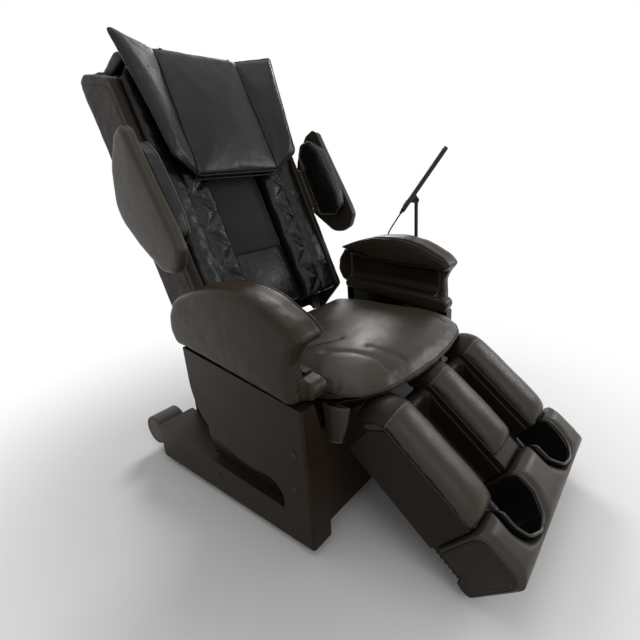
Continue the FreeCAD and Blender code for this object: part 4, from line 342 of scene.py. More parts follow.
def skin(rings, closed=True, first=None, last=None):
    """Faces between rings of equal length, closed at either end by a point where one is given."""
    count = len(rings[0])
    points = [tuple(p) for ring in rings for p in np.asarray(ring)]
    faces = []
    span = count if closed else count - 1
    for k in range(len(rings) - 1):
        for i in range(span):
            j = (i + 1) % count
            faces.append((k * count + i, k * count + j, (k + 1) * count + j, (k + 1) * count + i))
    for point, start in ((first, 0), (last, (len(rings) - 1) * count)):
        if point is not None:
            points.append(tuple(np.asarray(point)))
            faces += [(start + i, start + (i + 1) % count, len(points) - 1) for i in range(span)]
    return points, faces


def gathered(parts):
    """Several meshes as one."""
    points, faces = [], []
    for more, polygons in parts:
        faces += [tuple(index + len(points) for index in polygon) for polygon in polygons]
        points += list(more)
    return points, faces


def plate(place, ring, centre, back, front, back_round, front_round, crown=0.0):
    """A padded board: an outline in the second and third axis, from x back to its crowned face."""
    centre = np.array(centre, float)
    way = 1 if front > back else -1
    rings = []
    back_edge = inset(ring, centre, back_round)
    for share in (0.3, 0.65):
        flat = centre + (back_edge - centre) * share
        rings.append(place(back, *flat.T))
    for angle in np.linspace(0.0, math.pi / 2, 5):
        edge = inset(ring, centre, back_round * (1 - math.sin(angle)))
        rings.append(place(back + way * back_round * (1 - math.cos(angle)), *edge.T))
    for angle in np.linspace(0.0, math.pi / 2, 7)[:-1]:
        edge = inset(ring, centre, front_round * (1 - math.cos(angle)))
        rings.append(place(front - way * front_round * (1 - math.sin(angle)), *edge.T))
    front_edge = inset(ring, centre, front_round)
    for share in (1.0, 0.88, 0.74, 0.58, 0.4, 0.22):
        flat = centre + (front_edge - centre) * share
        rings.append(place(front + way * crown * (1 - share ** 2), *flat.T))
    return skin(rings, True, place(back, *centre), place(front + way * crown, *centre))


def tube(path, radius, sides=8, closed=False):
    """A round welt along a path in metres, its radius in millimetres."""
    path = np.asarray(path, float)
    if closed:
        tangents = unit(np.roll(path, -1, 0) - np.roll(path, 1, 0))
    else:
        tangents = unit(np.gradient(path, axis=0))
    normal = np.cross(tangents[0], (0.31, 0.87, 0.38))
    normals = []
    for tangent in tangents:
        normal = unit(normal - tangent * (normal @ tangent))
        normals.append(normal)
    twist = 0.0
    if closed:
        back_at_start = unit(normal - tangents[0] * (normal @ tangents[0]))
        side = np.cross(tangents[0], normals[0])
        twist = math.atan2(back_at_start @ side, back_at_start @ normals[0])
    around = np.linspace(0.0, 2 * math.pi, sides, endpoint=False)
    rings = []
    for i, (point, tangent, normal) in enumerate(zip(path, tangents, normals)):
        turn = around - twist * i / len(path)
        side = np.cross(tangent, normal)
        rings.append(point + radius * MM * (np.cos(turn)[:, None] * normal + np.sin(turn)[:, None] * side))
    if closed:
        return skin(rings + [rings[0]], True)
    return skin(rings, True, path[0], path[-1])


STITCH_PITCH = 4.6
STITCH_LENGTH = 3.2
STITCH_RADIUS = 0.5


def stitches(path):
    """A row of short threads along a path in metres."""
    path = np.asarray(path, float)
    length = np.linalg.norm(np.diff(path, axis=0), axis=1).sum() / MM
    count = max(2, int(length / STITCH_PITCH))
    middles = resample(path, count)
    ways = unit(np.gradient(middles, axis=0))
    parts = []
    for middle, way in zip(middles, ways):
        reach = way * STITCH_LENGTH / 2 * MM
        line = np.array([middle - reach, middle - reach * 0.5, middle + reach * 0.5, middle + reach])
        parts.append(tube(line, STITCH_RADIUS, 5))
    return gathered(parts)


MERGE_DISTANCE = 1e-6


def link(obj, material, body, nodes=()):
    """Puts a finished object in the scene, with its material and on its body, and hides the solids that it
    stands for.
    """
    bpy.context.scene.collection.objects.link(obj)
    obj.data.materials.clear()
    obj.data.materials.append(material)
    obj.data.polygons.foreach_set("use_smooth", [True] * len(obj.data.polygons))
    if body:
        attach(obj, body)
    if nodes:
        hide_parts(*nodes)
    return obj


def new_mesh(name, shape, merged=True):
    """A mesh from points and faces, its faces turned outwards."""
    points, faces = shape
    mesh = bpy.data.meshes.new(name)
    mesh.from_pydata([tuple(p) for p in points], [], faces)
    work = bmesh.new()
    work.from_mesh(mesh)
    if merged:
        bmesh.ops.remove_doubles(work, verts=work.verts, dist=MERGE_DISTANCE)
    bmesh.ops.recalc_face_normals(work, faces=work.faces)
    work.to_mesh(mesh)
    work.free()
    return mesh


def piece(name, shape, material, body, nodes=()):
    """A new object from points and faces."""
    return link(bpy.data.objects.new(name, new_mesh(name, shape)), material, body, nodes)


def apply_modifiers(obj):
    bpy.context.view_layer.update()
    depsgraph = bpy.context.evaluated_depsgraph_get()
    finished = bpy.data.meshes.new_from_object(obj.evaluated_get(depsgraph))
    obj.modifiers.clear()
    obj.data = finished
    finished.polygons.foreach_set("use_smooth", [True] * len(finished.polygons))


def soft_copy(nodes, name, material, body, voxel=4.0, passes=6):
    """A soft piece from the solids of the nodes that it stands for: rebuilt as even cells and relaxed."""
    work = bmesh.new()
    for node in nodes:
        work.from_mesh(NODES[node].data)
    bmesh.ops.remove_doubles(work, verts=work.verts, dist=MERGE_DISTANCE)
    mesh = bpy.data.meshes.new(name)
    work.to_mesh(mesh)
    work.free()
    obj = link(bpy.data.objects.new(name, mesh), material, body, nodes)
    celled(obj, voxel)
    smoothed(obj, passes)
    return obj


def read_points(obj):
    points = np.empty(len(obj.data.vertices) * 3)
    obj.data.vertices.foreach_get("co", points)
    return points.reshape(-1, 3)


def read_normals(obj):
    normals = np.empty(len(obj.data.vertices) * 3)
    obj.data.vertex_normals.foreach_get("vector", normals)
    return normals.reshape(-1, 3)


def write_points(obj, points):
    obj.data.vertices.foreach_set("co", points.ravel())
    obj.data.update()


def wrinkled(obj, amount, size, seed):
    """Uneven filling: the surface rises and falls by up to an amount in millimetres."""
    points, normals = read_points(obj), read_normals(obj)
    offset = Vector((seed * 7.3, seed * 3.1, seed * 5.7))
    rise = np.array([noise.fractal(Vector(p) / (size * MM) + offset, 0.6, 2.1, 3) for p in points])
    write_points(obj, points + normals * (amount * MM * rise)[:, None])


def creased(obj, paths, width, depth):
    """Draws the surface in along paths in metres, as a seam does."""
    points, normals = read_points(obj), read_normals(obj)
    tree = KDTree(sum(len(path) for path in paths))
    index = 0
    for path in paths:
        for point in path:
            tree.insert(Vector(point), index)
            index += 1
    tree.balance()
    away = np.array([tree.find(Vector(p))[2] for p in points])
    fall = depth * MM * np.exp(-(away / (width * MM)) ** 2)
    write_points(obj, points - normals * fall[:, None])


def laid_on(obj, path, rise=0.0):
    """A path moved onto the nearest surface of a piece, and outwards by a rise in millimetres."""
    corners = [v.co.copy() for v in obj.data.vertices]
    tree = BVHTree.FromPolygons(corners, [p.vertices[:] for p in obj.data.polygons])
    laid = []
    for point in path:
        place, normal, _, _ = tree.find_nearest(Vector(point))
        laid.append(np.array(place + normal * rise * MM))
    return np.array(laid)


def sewn(name, cover, paths, rise, material, body):
    """Rows of stitches on a brown cover, standing out by a rise in millimetres."""
    rows = [stitches(laid_on(cover, path, rise)) for path in paths]
    piece(name, gathered(rows), material, body)


def mirrored_place(place, way):
    """The same frame on the chair's other side where way is -1."""
    return lambda a, b, c: place(np.asarray(a, float) * way, b, c)


class Patch:
    """A twisted four-cornered frame: takes a height above it, then distances along its two sides."""

    def __init__(self, place, corners, width, length):
        self.place = place
        self.corners = np.array(corners, float)
        self.size = (width, length)
        across = self.corners[1] - self.corners[0] + self.corners[2] - self.corners[3]
        along = self.corners[3] - self.corners[0] + self.corners[2] - self.corners[1]
        normal = unit(np.cross(across, along))
        self.normal = -normal if normal[1] > 0 else normal

    def __call__(self, height, b, c):
        height, b, c = np.broadcast_arrays(*(np.asarray(value, float) for value in (height, b, c)))
        p, q = (b / self.size[0])[..., None], (c / self.size[1])[..., None]
        one, two, three, four = self.corners
        flat = (1 - p) * (1 - q) * one + p * (1 - q) * two + p * q * three + (1 - p) * q * four
        spot = flat + height[..., None] * self.normal
        return self.place(spot[..., 0], spot[..., 1], spot[..., 2])


def solidified(obj, thickness):
    wall = obj.modifiers.new("wall", "SOLIDIFY")
    wall.thickness = thickness * MM
    wall.offset = 0.0
    apply_modifiers(obj)


CLOTH_FRAMES = 20
CLOTH_PRESSURE = 4.0


def celled(obj, cell):
    """Even cells all over, which also joins the parts that overlap."""
    cells = obj.modifiers.new("cells", "REMESH")
    cells.mode = "VOXEL"
    cells.voxel_size = cell * MM
    apply_modifiers(obj)


def inflated(obj, cap, cell=5.0):
    """Swells a cushion as stuffed fabric does: a short cloth run under pressure, its rise capped."""
    celled(obj, cell)
    start = read_points(obj).copy()
    cloth = obj.modifiers.new("fabric", "CLOTH")
    cloth.settings.quality = 5
    cloth.settings.mass = 0.3
    cloth.settings.tension_stiffness = 25
    cloth.settings.compression_stiffness = 25
    cloth.settings.bending_stiffness = 1.5
    cloth.settings.use_pressure = True
    cloth.settings.uniform_pressure_force = CLOTH_PRESSURE
    cloth.settings.effector_weights.gravity = 0.0
    cloth.point_cache.frame_start = 1
    cloth.point_cache.frame_end = CLOTH_FRAMES
    for frame_number in range(1, CLOTH_FRAMES + 1):
        bpy.context.scene.frame_set(frame_number)
    swollen = obj.evaluated_get(bpy.context.evaluated_depsgraph_get()).to_mesh()
    points = np.empty(len(swollen.vertices) * 3)
    swollen.vertices.foreach_get("co", points)
    obj.modifiers.clear()
    moved = points.reshape(-1, 3) - start
    length = np.linalg.norm(moved, axis=1, keepdims=True)
    write_points(obj, start + moved * np.minimum(1.0, cap * MM / np.maximum(length, 1e-9)))
    bpy.context.scene.frame_set(1)


def smoothed(obj, passes):
    relaxed = obj.modifiers.new("relaxed", "SMOOTH")
    relaxed.factor = 0.5
    relaxed.iterations = passes
    apply_modifiers(obj)


def subdivided(obj):
    finer = obj.modifiers.new("finer", "SUBSURF")
    finer.levels = finer.render_levels = 1
    apply_modifiers(obj)


# Head pillow: a centre panel and two wings that fold forward, each with a gusset, a crown and piped edges

PILLOW_BACK = -118.5
PILLOW_LENGTH = 386.0
PILLOW_GUSSET = 21.0
WING_GUSSET = 16.0
PILLOW_PANELS = [
    ("centre", [(-162, PILLOW_BACK, 460), (162, PILLOW_BACK, 460), (145, PILLOW_BACK, 846),
                (-145, PILLOW_BACK, 846)], 306.0, PILLOW_GUSSET, 15.0),
    ("wing_left", [(162, PILLOW_BACK, 461), (241, -166, 507), (292, -167, 853), (145, PILLOW_BACK, 846)],
     110.0, WING_GUSSET, 10.0),
    ("wing_right", [(-162, PILLOW_BACK, 461), (-241, -166, 507), (-292, -167, 853), (-145, PILLOW_BACK, 846)],
     110.0, WING_GUSSET, 10.0),
]


def head_pillow():
    parts, welts, seams = [], [], []
    for name, corners, width, gusset, crown in PILLOW_PANELS:
        patch = Patch(BACK, corners, width, PILLOW_LENGTH)
        round_off = 14.0 if name == "centre" else 16.0
        ring = rounded([(0, 0, 5), (width, 0, round_off), (width, PILLOW_LENGTH, 8),
                        (0, PILLOW_LENGTH, 5)], 220)
        middle = (width / 2, PILLOW_LENGTH / 2)
        parts.append(plate(patch, ring, middle, 0.0, gusset, 4.0, 9.0, crown))
        edge = inset(ring, np.array(middle), 1.5)
        seams.append(patch(gusset - 2.0, *edge.T))
        if name == "centre":
            low = inset(ring, np.array(middle), 1.0)
            welts.append(patch(4.0, *low.T))
    cover = piece("pillow_cover", gathered(parts), BLACK, "pillow", ["head_pillow"])
    inflated(cover, 5.0)
    smoothed(cover, 6)
    seams = [laid_on(cover, path) for path in seams]
    creased(cover, seams, 6.0, 2.4)
    wrinkled(cover, 0.9, 80, 3)
    wrinkled(cover, 0.15, 16, 4)
    subdivided(cover)
    welts += [laid_on(cover, path, 0.8) for path in seams]
    piece("pillow_piping", gathered([tube(edge, 2.4, 8, True) for edge in welts]), PIPING, "pillow")


head_pillow()


# Back

SIDE_PAD = {"inner": 110.3, "outer": 261.7, "low": 35.0, "top": 806.0, "board": -50.3, "edge": -96.0}
PAD_RISE = 21.0
PAD_SEAM_X = 188.0
PAD_TUFTS = 14
PAD_SOFTNESS = 15.0


def seam_lines():
    """The side pad's sewn lines: one upright seam, and an uneven zigzag between it and the inner edge."""
    lines = [[(PAD_SEAM_X, SIDE_PAD["low"]), (PAD_SEAM_X, SIDE_PAD["top"])]]
    pitch = (SIDE_PAD["top"] - SIDE_PAD["low"]) / PAD_TUFTS
    zigzag = []
    for i in range(PAD_TUFTS + 1):
        x = PAD_SEAM_X - 1 if i % 2 else SIDE_PAD["inner"] + 6
        drift = 0.22 * pitch * noise.noise(Vector((i * 1.7, 4.0, 9.0))) if 0 < i < PAD_TUFTS else 0.0
        zigzag.append((x, SIDE_PAD["low"] + i * pitch + drift))
    lines += [list(pair) for pair in zip(zigzag[:-1], zigzag[1:])]
    return lines


def away_from_segment(points, start, end):
    start, end = np.array(start, float), np.array(end, float)
    run = end - start
    share = np.clip(((points - start) @ run) / (run @ run), 0.0, 1.0)
    return np.linalg.norm(points - start - share[:, None] * run, axis=1)


def side_pad_front(points):
    """Depth of the quilted front at (x, s) points: full between the seams and softly drawn in along them."""
    lines = seam_lines()
    away = np.min([away_from_segment(points, *line) for line in lines], axis=0)
    x, s = points[:, 0], points[:, 1]
    from_edge = np.minimum.reduce([x - SIDE_PAD["inner"], SIDE_PAD["outer"] - x,
                                   s - SIDE_PAD["low"], SIDE_PAD["top"] - s])
    full = 1 - np.exp(-np.maximum(from_edge, 0) / 11.0)
    uneven = np.array([noise.noise(Vector((a * 0.02, b * 0.02, 7.0))) for a, b in points])
    spread = PAD_SOFTNESS * (1 + 0.35 * uneven)
    puff = 1 - 0.6 * np.exp(-(np.sqrt(away ** 2 + 9.0) - 3.0) / spread)
    return SIDE_PAD["edge"] - PAD_RISE * full * puff


def side_pad(side, way):
    place = mirrored_place(BACK, way)
    across = np.linspace(SIDE_PAD["inner"], SIDE_PAD["outer"], 44)
    rings = []
    lowered = 42.0 * smoothstep(222, 258, across)
    for s in np.linspace(SIDE_PAD["low"], SIDE_PAD["top"], 230):
        s = s - lowered * smoothstep(640, SIDE_PAD["top"], s)
        points = np.stack([across, s], -1)
        front = side_pad_front(points)
        spots = [Vector((x * 0.022 + h * 0.02, h * 0.03 - x * 0.03, 2.0 * way)) for x, h in zip(across, s)]
        folds = [2.2 * noise.fractal(spot, 0.7, 2.0, 3) for spot in spots]
        ring = place(across, front + np.array(folds), s)
        hidden = place(across[::-6], SIDE_PAD["board"], s[::-6])
        rings.append(np.vstack([ring, hidden]))
    middle = (SIDE_PAD["inner"] + SIDE_PAD["outer"]) / 2
    ends = [place(middle, SIDE_PAD["board"] - 20, s) for s in (SIDE_PAD["low"], SIDE_PAD["top"])]
    pad = piece(f"side_pad_{side}", skin(rings, True, *ends), BLACK, "back",
                [f"back_side_pad_{side}"])
    rows = []
    for line in seam_lines():
        path = resample(line, 40)
        depth = side_pad_front(path) - 0.4
        rows.append(stitches(place(path[:, 0], depth, path[:, 1])))
    piece(f"side_pad_thread_{side}", gathered(rows), BLACK_THREAD, "back")


for side, way in SIDES.items():
    side_pad(side, way)

strip = soft_copy(["back_centre_pad"], "centre_strip", CLOTH, "back", 3.5, 4)
wrinkled(strip, 0.8, 60, 6)
lumbar = soft_copy(["back_lumbar_pad"], "lumbar_cover", BLACK, "back", 4.0, 8)
wrinkled(lumbar, 1.2, 38, 7)

shell = soft_copy(["back_rear_shell"], "back_shell_cover", SHADED_BROWN, "back", 5.0, 14)
BOLSTER_EDGE = [(-112, 40), (-112, 742), (-100, 764), (-45, 803), (38, 848)]
shell_seams = []
for side, way in SIDES.items():
    place = mirrored_place(BACK, way)
    path = rounded([(t, s, 24) for t, s in BOLSTER_EDGE], 200, closed=False)
    shell_seams.append(laid_on(shell, place(279.0, *path.T)))
    side_edge = [(t + 26, s - (10 if s > 700 else 0), 24) for t, s in BOLSTER_EDGE]
    side_path = rounded(side_edge, 200, closed=False)
    shell_seams.append(laid_on(shell, place(290.0, *side_path.T)))
creased(shell, shell_seams, 4.0, 1.6)
wrinkled(shell, 1.0, 70, 8)
sewn("back_shell_thread", shell, shell_seams, 0.1, BLACK_THREAD, "back")


# Shoulder supports: a lens-shaped housing on a root block, with a curved pad on its inner face

SUPPORT_OUTLINE = [
    (-196, 216, 14), (-228, 250, 20), (-228, 286, 60), (-208, 497, 200), (-203, 566, 14), (-188, 583, 10),
    (-150, 580, 30), (-78, 530, 80), (-24, 450, 120), (-24, 400, 100), (-60, 320, 120), (-120, 226, 60),
    (-160, 212, 20),
]
SUPPORT_MIDDLE = (-130.0, 400.0)
SUPPORT_PAD_OUTLINE = [
    (-112, 300, 16), (-112, 520, 20), (-140, 554, 24), (-186, 544, 24), (-209, 502, 30), (-219, 414, 100),
    (-222, 335, 40), (-212, 290, 24), (-180, 272, 20),
]
SUPPORT_PAD_MIDDLE = (-160.0, 410.0)
SUPPORT_INNER_X = 343.3
SUPPORT_OUTER_X = 371.5
SUPPORT_SEAMS = ((366.0, 1.0), (354.0, 0.0))
SUPPORT_ROOT = [(-108, 332, 10), (-30, 332, 10), (-30, 478, 10), (-108, 478, 10)]
SUPPORT_ROOT_X = (290.5, 350.0)
SUPPORT_PAD_X = (342.8, 304.0)


def shoulder_support(side, way):
    place = mirrored_place(BACK, way)
    ring = rounded(SUPPORT_OUTLINE, 200)
    lens = plate(place, ring, SUPPORT_MIDDLE, SUPPORT_INNER_X, SUPPORT_OUTER_X, 3.0, 13.0, 2.5)
    root = plate(place, rounded(SUPPORT_ROOT, 60), (-69.0, 405.0), *SUPPORT_ROOT_X, 1.0, 1.0)
    cover = piece(f"support_cover_{side}", gathered([lens, root]), TAUPE, "back",
                  [f"shoulder_support_{side}"])
    celled(cover, 4.0)
    smoothed(cover, 8)
    wrinkled(cover, 0.5, 80, 11)
    seams = []
    for x, draw in SUPPORT_SEAMS:
        edge = inset(ring, np.array(SUPPORT_MIDDLE), draw)
        seams.append(laid_on(cover, place(x, *edge.T)))
    creased(cover, seams, 3.4, 1.2)
    subdivided(cover)
    sewn(f"support_thread_{side}", cover, seams, 0.1, THREAD, "back")
    pad_ring = rounded(SUPPORT_PAD_OUTLINE, 140)
    pad = plate(place, pad_ring, SUPPORT_PAD_MIDDLE, *SUPPORT_PAD_X, 1.0, 13.0, 5.0)
    edge = inset(pad_ring, np.array(SUPPORT_PAD_MIDDLE), 3.0)
    welt = tube(place(309.0, *edge.T), 2.6, 8, True)
    rim = inset(ring, np.array(SUPPORT_MIDDLE), 3.0)
    foot = tube(place(344.5, *rim.T), 2.4, 8, True)
    # Light welts round the pad and the lens: painted highlight on their rims.
    piece(f"support_pad_piping_{side}", gathered([welt, foot]), HIGHLIGHT_PIPING, "back")
    return pad


support_pads = gathered([shoulder_support(side, way) for side, way in SIDES.items()])
support_pads = piece("support_pads", support_pads, BLACK, "back", ["shoulder_support_pads"])
celled(support_pads, 4.0)
smoothed(support_pads, 6)
wrinkled(support_pads, 0.8, 60, 12)
subdivided(support_pads)


# Armrests

ARM_OUTLINE = [
    (60, 460, 10), (104, 463, 20), (122, 502, 30), (116, 545, 40), (84, 588, 60), (0, 621, 100),
    (-80, 638, 200), (-160, 641, 200), (-240, 624, 150), (-316, 584, 60), (-342, 556, 12),
    (-322, 532, 10), (-306, 500, 20), (-309, 458, 14), (-311, 412, 10), (-296, 402, 10),
]
ARM_MIDDLE = (-110.0, 530.0)
HOOD_OUTLINE = [
    (60, 590, 8), (78, 596, 14), (0, 621, 100), (-80, 638, 200), (-160, 641, 200), (-240, 622, 150),
    (-316, 582, 60), (-340, 556, 12), (-322, 534, 10), (-296, 547, 14), (-171, 549, 60), (-54, 563, 60),
]
HOOD_MIDDLE = (-120.0, 594.0)
HOOD_EDGE = [
    (78, 608, 20), (-65, 634, 100), (-160, 626, 200), (-240, 605, 150), (-325, 570, 40), (-336, 548, 8),
]
LOWER_PAD_OUTLINE = [
    (60, 453, 10), (60, 479, 12), (-120, 473, 200), (-270, 458, 60), (-326, 448, 16), (-338, 434, 14),
    (-332, 411, 12), (-300, 403, 10),
]
LOWER_PAD_MIDDLE = (-150.0, 446.0)
PAD_TOP = [(-294, 455.0), (-270, 457.0), (-120, 471.0), (60, 478.0)]
HOOD_LOW = [(-294, 549.0), (-171, 551.0), (-54, 565.0), (60, 588.0)]
WALL_X = (345.5, 391.0)
HOOD_X = (368.0, 299.0)
LOWER_PAD_X = (352.0, 299.0)
NOSE_SEAM = [(-334, 548, 5), (-316, 530, 8), (-306, 500, 12), (-309, 458, 10), (-311, 420, 5)]
PUCKERS = 11
PUCKER_TOP = 540
PUCKER_PITCH = 12


def forearm_lining(side, place):
    """The soft trough of the forearm channel, between the lower pad and the hood."""
    rows = []
    for y in np.linspace(58, -294, 34):
        low = np.interp(y, *zip(*PAD_TOP))
        high = np.interp(y, *zip(*HOOD_LOW))
        section = rounded([(300, high, 4), (328, high - 2, 12), (343.4, high - 18, 14), (343.4, low + 20, 14),
                           (328, low + 3, 12), (300, low, 4)], 26, closed=False)
        rows.append(place(section[:, 0], y, section[:, 1]))
    # The trough in the darker copy of the leather: painted shade inside the channel.
    lining = piece(f"forearm_lining_{side}", skin(rows, False), SHADED_BROWN, "base")
    solidified(lining, 1.6)


def armrest(side, way):
    """One cover over wall, hood and lower pad, sewn along its inner top edge and round its nose."""
    place = mirrored_place(CHAIR, way)
    wall = plate(place, rounded(ARM_OUTLINE, 220), ARM_MIDDLE, *WALL_X, 3.0, 22.0, 5.0)
    hood = plate(place, rounded(HOOD_OUTLINE, 220), HOOD_MIDDLE, *HOOD_X, 3.0, 14.0, 3.0)
    pad = plate(place, rounded(LOWER_PAD_OUTLINE, 180), LOWER_PAD_MIDDLE, *LOWER_PAD_X, 3.0, 8.0, 2.0)
    # The armrest cover takes the darker copy of the leather: painted shade.
    cover = piece(f"armrest_cover_{side}", gathered([wall, hood, pad]), ARMREST_SHADED_LEATHER, "base",
                  [f"armrest_shell_{side}", f"armrest_lower_pad_{side}"])
    celled(cover, 4.0)
    smoothed(cover, 12)
    edge = rounded(HOOD_EDGE, 200, closed=False)
    seam = laid_on(cover, place(302.0, *edge.T))
    second = laid_on(cover, place(310.0, edge[:, 0], edge[:, 1] + 9.0))
    creased(cover, [seam, second], 3.6, 1.8)
    mouth = rounded(NOSE_SEAM, 80, closed=False)
    nose = [laid_on(cover, place(376.0, *mouth.T))]
    creased(cover, nose, 4.0, 1.4)
    puckers = []
    for k in range(PUCKERS):
        z = PUCKER_TOP - PUCKER_PITCH * k
        reach = 18 + 6 * noise.noise(Vector((k * 2.3, 1.0, 5.0)))
        line = place(np.linspace(348, 348 + reach, 14), -308.0, np.linspace(z, z - 10, 14))
        puckers.append(laid_on(cover, line))
    creased(cover, puckers, 3.2, 2.2)
    wrinkled(cover, 0.8, 90, 20)
    wrinkled(cover, 0.12, 20, 22)
    subdivided(cover)
    welts = gathered([tube(laid_on(cover, path, 0.8), 2.2) for path in (seam, second)])
    piece(f"armrest_piping_{side}", welts, PIPING, "base")
    sewn(f"armrest_thread_{side}", cover, nose, 0.2, THREAD, "base")
    forearm_lining(side, place)


for side, way in SIDES.items():
    armrest(side, way)


# Cutting

def prism(place, ring, low, high):
    """A closed prism on a plane ring, for the voxel cells to soften."""
    middle = ring.mean(0)
    bottom = place(low, *ring.T)
    top = place(high, *ring.T)
    return skin([bottom, top], True, place(low, *middle), place(high, *middle))


def cut_from(obj, shape):
    """Takes a closed shape of points and faces out of a piece."""
    cutter = bpy.data.objects.new("cutter", new_mesh("cutter", shape, merged=False))
    bpy.context.scene.collection.objects.link(cutter)
    hole = obj.modifiers.new("hole", "BOOLEAN")
    hole.operation = "DIFFERENCE"
    hole.solver = "EXACT"
    hole.object = cutter
    apply_modifiers(obj)
    bpy.data.objects.remove(cutter)


# Seat

SEAT_OUTLINE = [
    (263, 72, 30), (289, -20, 200), (291, -290, 160), (284, -348, 60), (258, -392, 60), (200, -424, 100),
    (100, -441, 200), (0, -447, 400), (-100, -441, 200), (-200, -424, 100), (-258, -392, 60),
    (-284, -348, 60), (-291, -290, 160), (-289, -20, 200), (-263, 72, 30),
]
SEAT_MIDDLE = np.array((0.0, -190.0))
SEAT_SIDE_SEAM = 405.0
SEAT_NOSE_SEAM = 393.0
SEAT_BOTTOM = 366.0
SEAT_NOSE_BOTTOM = 387.0
SEAT_CROWN = 449.0
SEAT_CREASES = [
    [(-196, -236), (-168, -300), (-150, -360), (-158, -418)],
    [(-118, -322), (-104, -370), (-100, -424)],
    [(-236, -120), (-180, -190), (-120, -230)],
    [(242, -220), (214, -300), (196, -392)],
    [(262, -120), (236, -220), (226, -300)],
]


def seat_rings():
    outline = rounded(SEAT_OUTLINE, 240)
    ahead = smoothstep(-280, -430, outline[:, 1])
    seam = SEAT_SIDE_SEAM + ahead * (SEAT_NOSE_SEAM - SEAT_SIDE_SEAM)
    bottom = SEAT_BOTTOM + smoothstep(-300, -380, outline[:, 1]) * (SEAT_NOSE_BOTTOM - SEAT_BOTTOM)
    rings = []
    for draw, share in ((40.0, 1.0), (8.0, 1.0), (2.0, 0.85), (0.0, 0.4), (0.0, 0.0)):
        edge = inset(outline, SEAT_MIDDLE, draw)
        rings.append(CHAIR(*edge.T, seam + share * (bottom - seam)))
    for share in 1 - np.linspace(0.012, 0.97, 30) ** 1.25:
        flat = SEAT_MIDDLE + (outline - SEAT_MIDDLE) * share
        z = seam + (SEAT_CROWN - seam) * (1 - share ** 3.4)
        rings.append(CHAIR(*flat.T, z))
    return rings, seam, outline


def seat():
    rings, seam, outline = seat_rings()
    shape = skin(rings, True, CHAIR(*SEAT_MIDDLE, SEAT_BOTTOM), CHAIR(*SEAT_MIDDLE, SEAT_CROWN))
    cover = piece("seat_cover", shape, TAUPE, "base", ["seat_cushion"])
    inflated(cover, 6.0)
    smoothed(cover, 3)
    creases = []
    for line in SEAT_CREASES:
        path = rounded([(*p, 40) for p in line], 60, closed=False)
        creases.append(laid_on(cover, CHAIR(*path.T, 470.0)))
    creased(cover, creases, 9.0, 3.4)
    wrinkled(cover, 1.2, 120, 30)
    wrinkled(cover, 0.12, 24, 31)
    subdivided(cover)
    front = outline[:, 1] < -150
    edge = CHAIR(*outline.T, seam - 4.0)
    start = int(np.argmax(front))
    run = np.roll(edge, -start, 0)[:int(front.sum())]
    run = laid_on(cover, resample(run, 220), 0.6)
    piece("seat_piping", tube(run, 3.4), PIPING, "base")
    sewn("seat_thread", cover, [run + np.array((0, 0, 7.0)) * MM], 0.2, THREAD, "base")


APRON_PLAN = [(-283, -296, 10), (-284, -302, 6), (0, -334, 1200), (284, -302, 6), (283, -296, 10)]
WING_TOP = [(271.5, -312), (271.5, -372), (281, -352), (288, -322), (288, -300)]
WING_FOOT = [(271.5, -312), (271.5, -340), (279, -333), (284, -318), (286, -300)]
WING_LOW = 269.0
WING_HEIGHT = 98.0
APRON_LOW = 304.0
APRON_HEIGHT = 62.0
SEAT_PAN_CORNERS = [((266, -380, 262), (292, -301, 370)), ((-292, -380, 262), (-266, -301, 370))]


def seat_apron():
    """The cloth across the front of the seat pan, with a bowl at either corner and the seat's underside."""
    plan = rounded(APRON_PLAN, 90, closed=False)
    rows = []
    for share in np.linspace(0.0, 1.0, 12):
        z = APRON_LOW + share * APRON_HEIGHT
        belly = 3.0 * math.sin(math.pi * share)
        fold = np.array([1.2 * noise.noise(Vector((x * 0.02, share * 2.0, 5.0))) for x in plan[:, 0]])
        rows.append(CHAIR(plan[:, 0], plan[:, 1] - belly - fold, z))
    cover = piece("seat_apron", skin(rows, False), SHADED_BROWN, "base")
    solidified(cover, 2.0)
    bowls, welts = [], []
    for way in SIDES.values():
        place = mirrored_place(CHAIR, way)
        rows = []
        for share in np.linspace(0.0, 1.0, 14):
            line = np.array(WING_TOP) * share + np.array(WING_FOOT) * (1 - share)
            line = rounded([(*p, 14) for p in line], 44, closed=False)
            swell = 5.0 * math.sin(math.pi * share) * smoothstep(0, 12, np.arange(44))
            rows.append(place(line[:, 0] + 0.4 * swell, line[:, 1] - swell, WING_LOW + WING_HEIGHT * share))
        bowls.append(skin(rows, False))
        welts.append(tube(rows[0], 2.4))
        floor = [place(*p, WING_LOW + 2) for p in WING_FOOT]
        bowls.append(skin([np.array(floor)[:3], np.array(floor)[[4, 3, 2]]], False))
    bowl = piece("apron_bowls", gathered(bowls), TAUPE, "base")
    solidified(bowl, 2.0)
    piece("apron_piping", gathered(welts), HIGHLIGHT_PIPING, "base")
    nose = rounded(SEAT_OUTLINE[2:-2], 120, closed=False)
    nose = nose[nose[:, 1] < -318]
    rows = []
    for share in np.linspace(0.0, 1.0, 10):
        apron_y = -334.0 + 28.0 * (nose[:, 0] / 284.0) ** 2
        y = nose[:, 1] + 6.0 + share * np.maximum(0.0, apron_y - nose[:, 1] - 6.0)
        bottom = SEAT_BOTTOM + smoothstep(-300, -380, y) * (SEAT_NOSE_BOTTOM - SEAT_BOTTOM)
        rows.append(CHAIR(nose[:, 0] * 0.98, y, bottom - 1.6))
    under = piece("seat_underside", skin(rows, False), SHADED_BROWN, "base")
    solidified(under, 1.6)


def without_boxes(obj, boxes):
    """Cuts boxes, given by two corners in millimetres, out of a closed piece."""
    for low, high in boxes:
        ring = np.array([(low[0], low[1]), (high[0], low[1]), (high[0], high[1]), (low[0], high[1])], float)
        cut_from(obj, prism(lambda z, x, y: CHAIR(x, y, z), ring, low[2], high[2]))


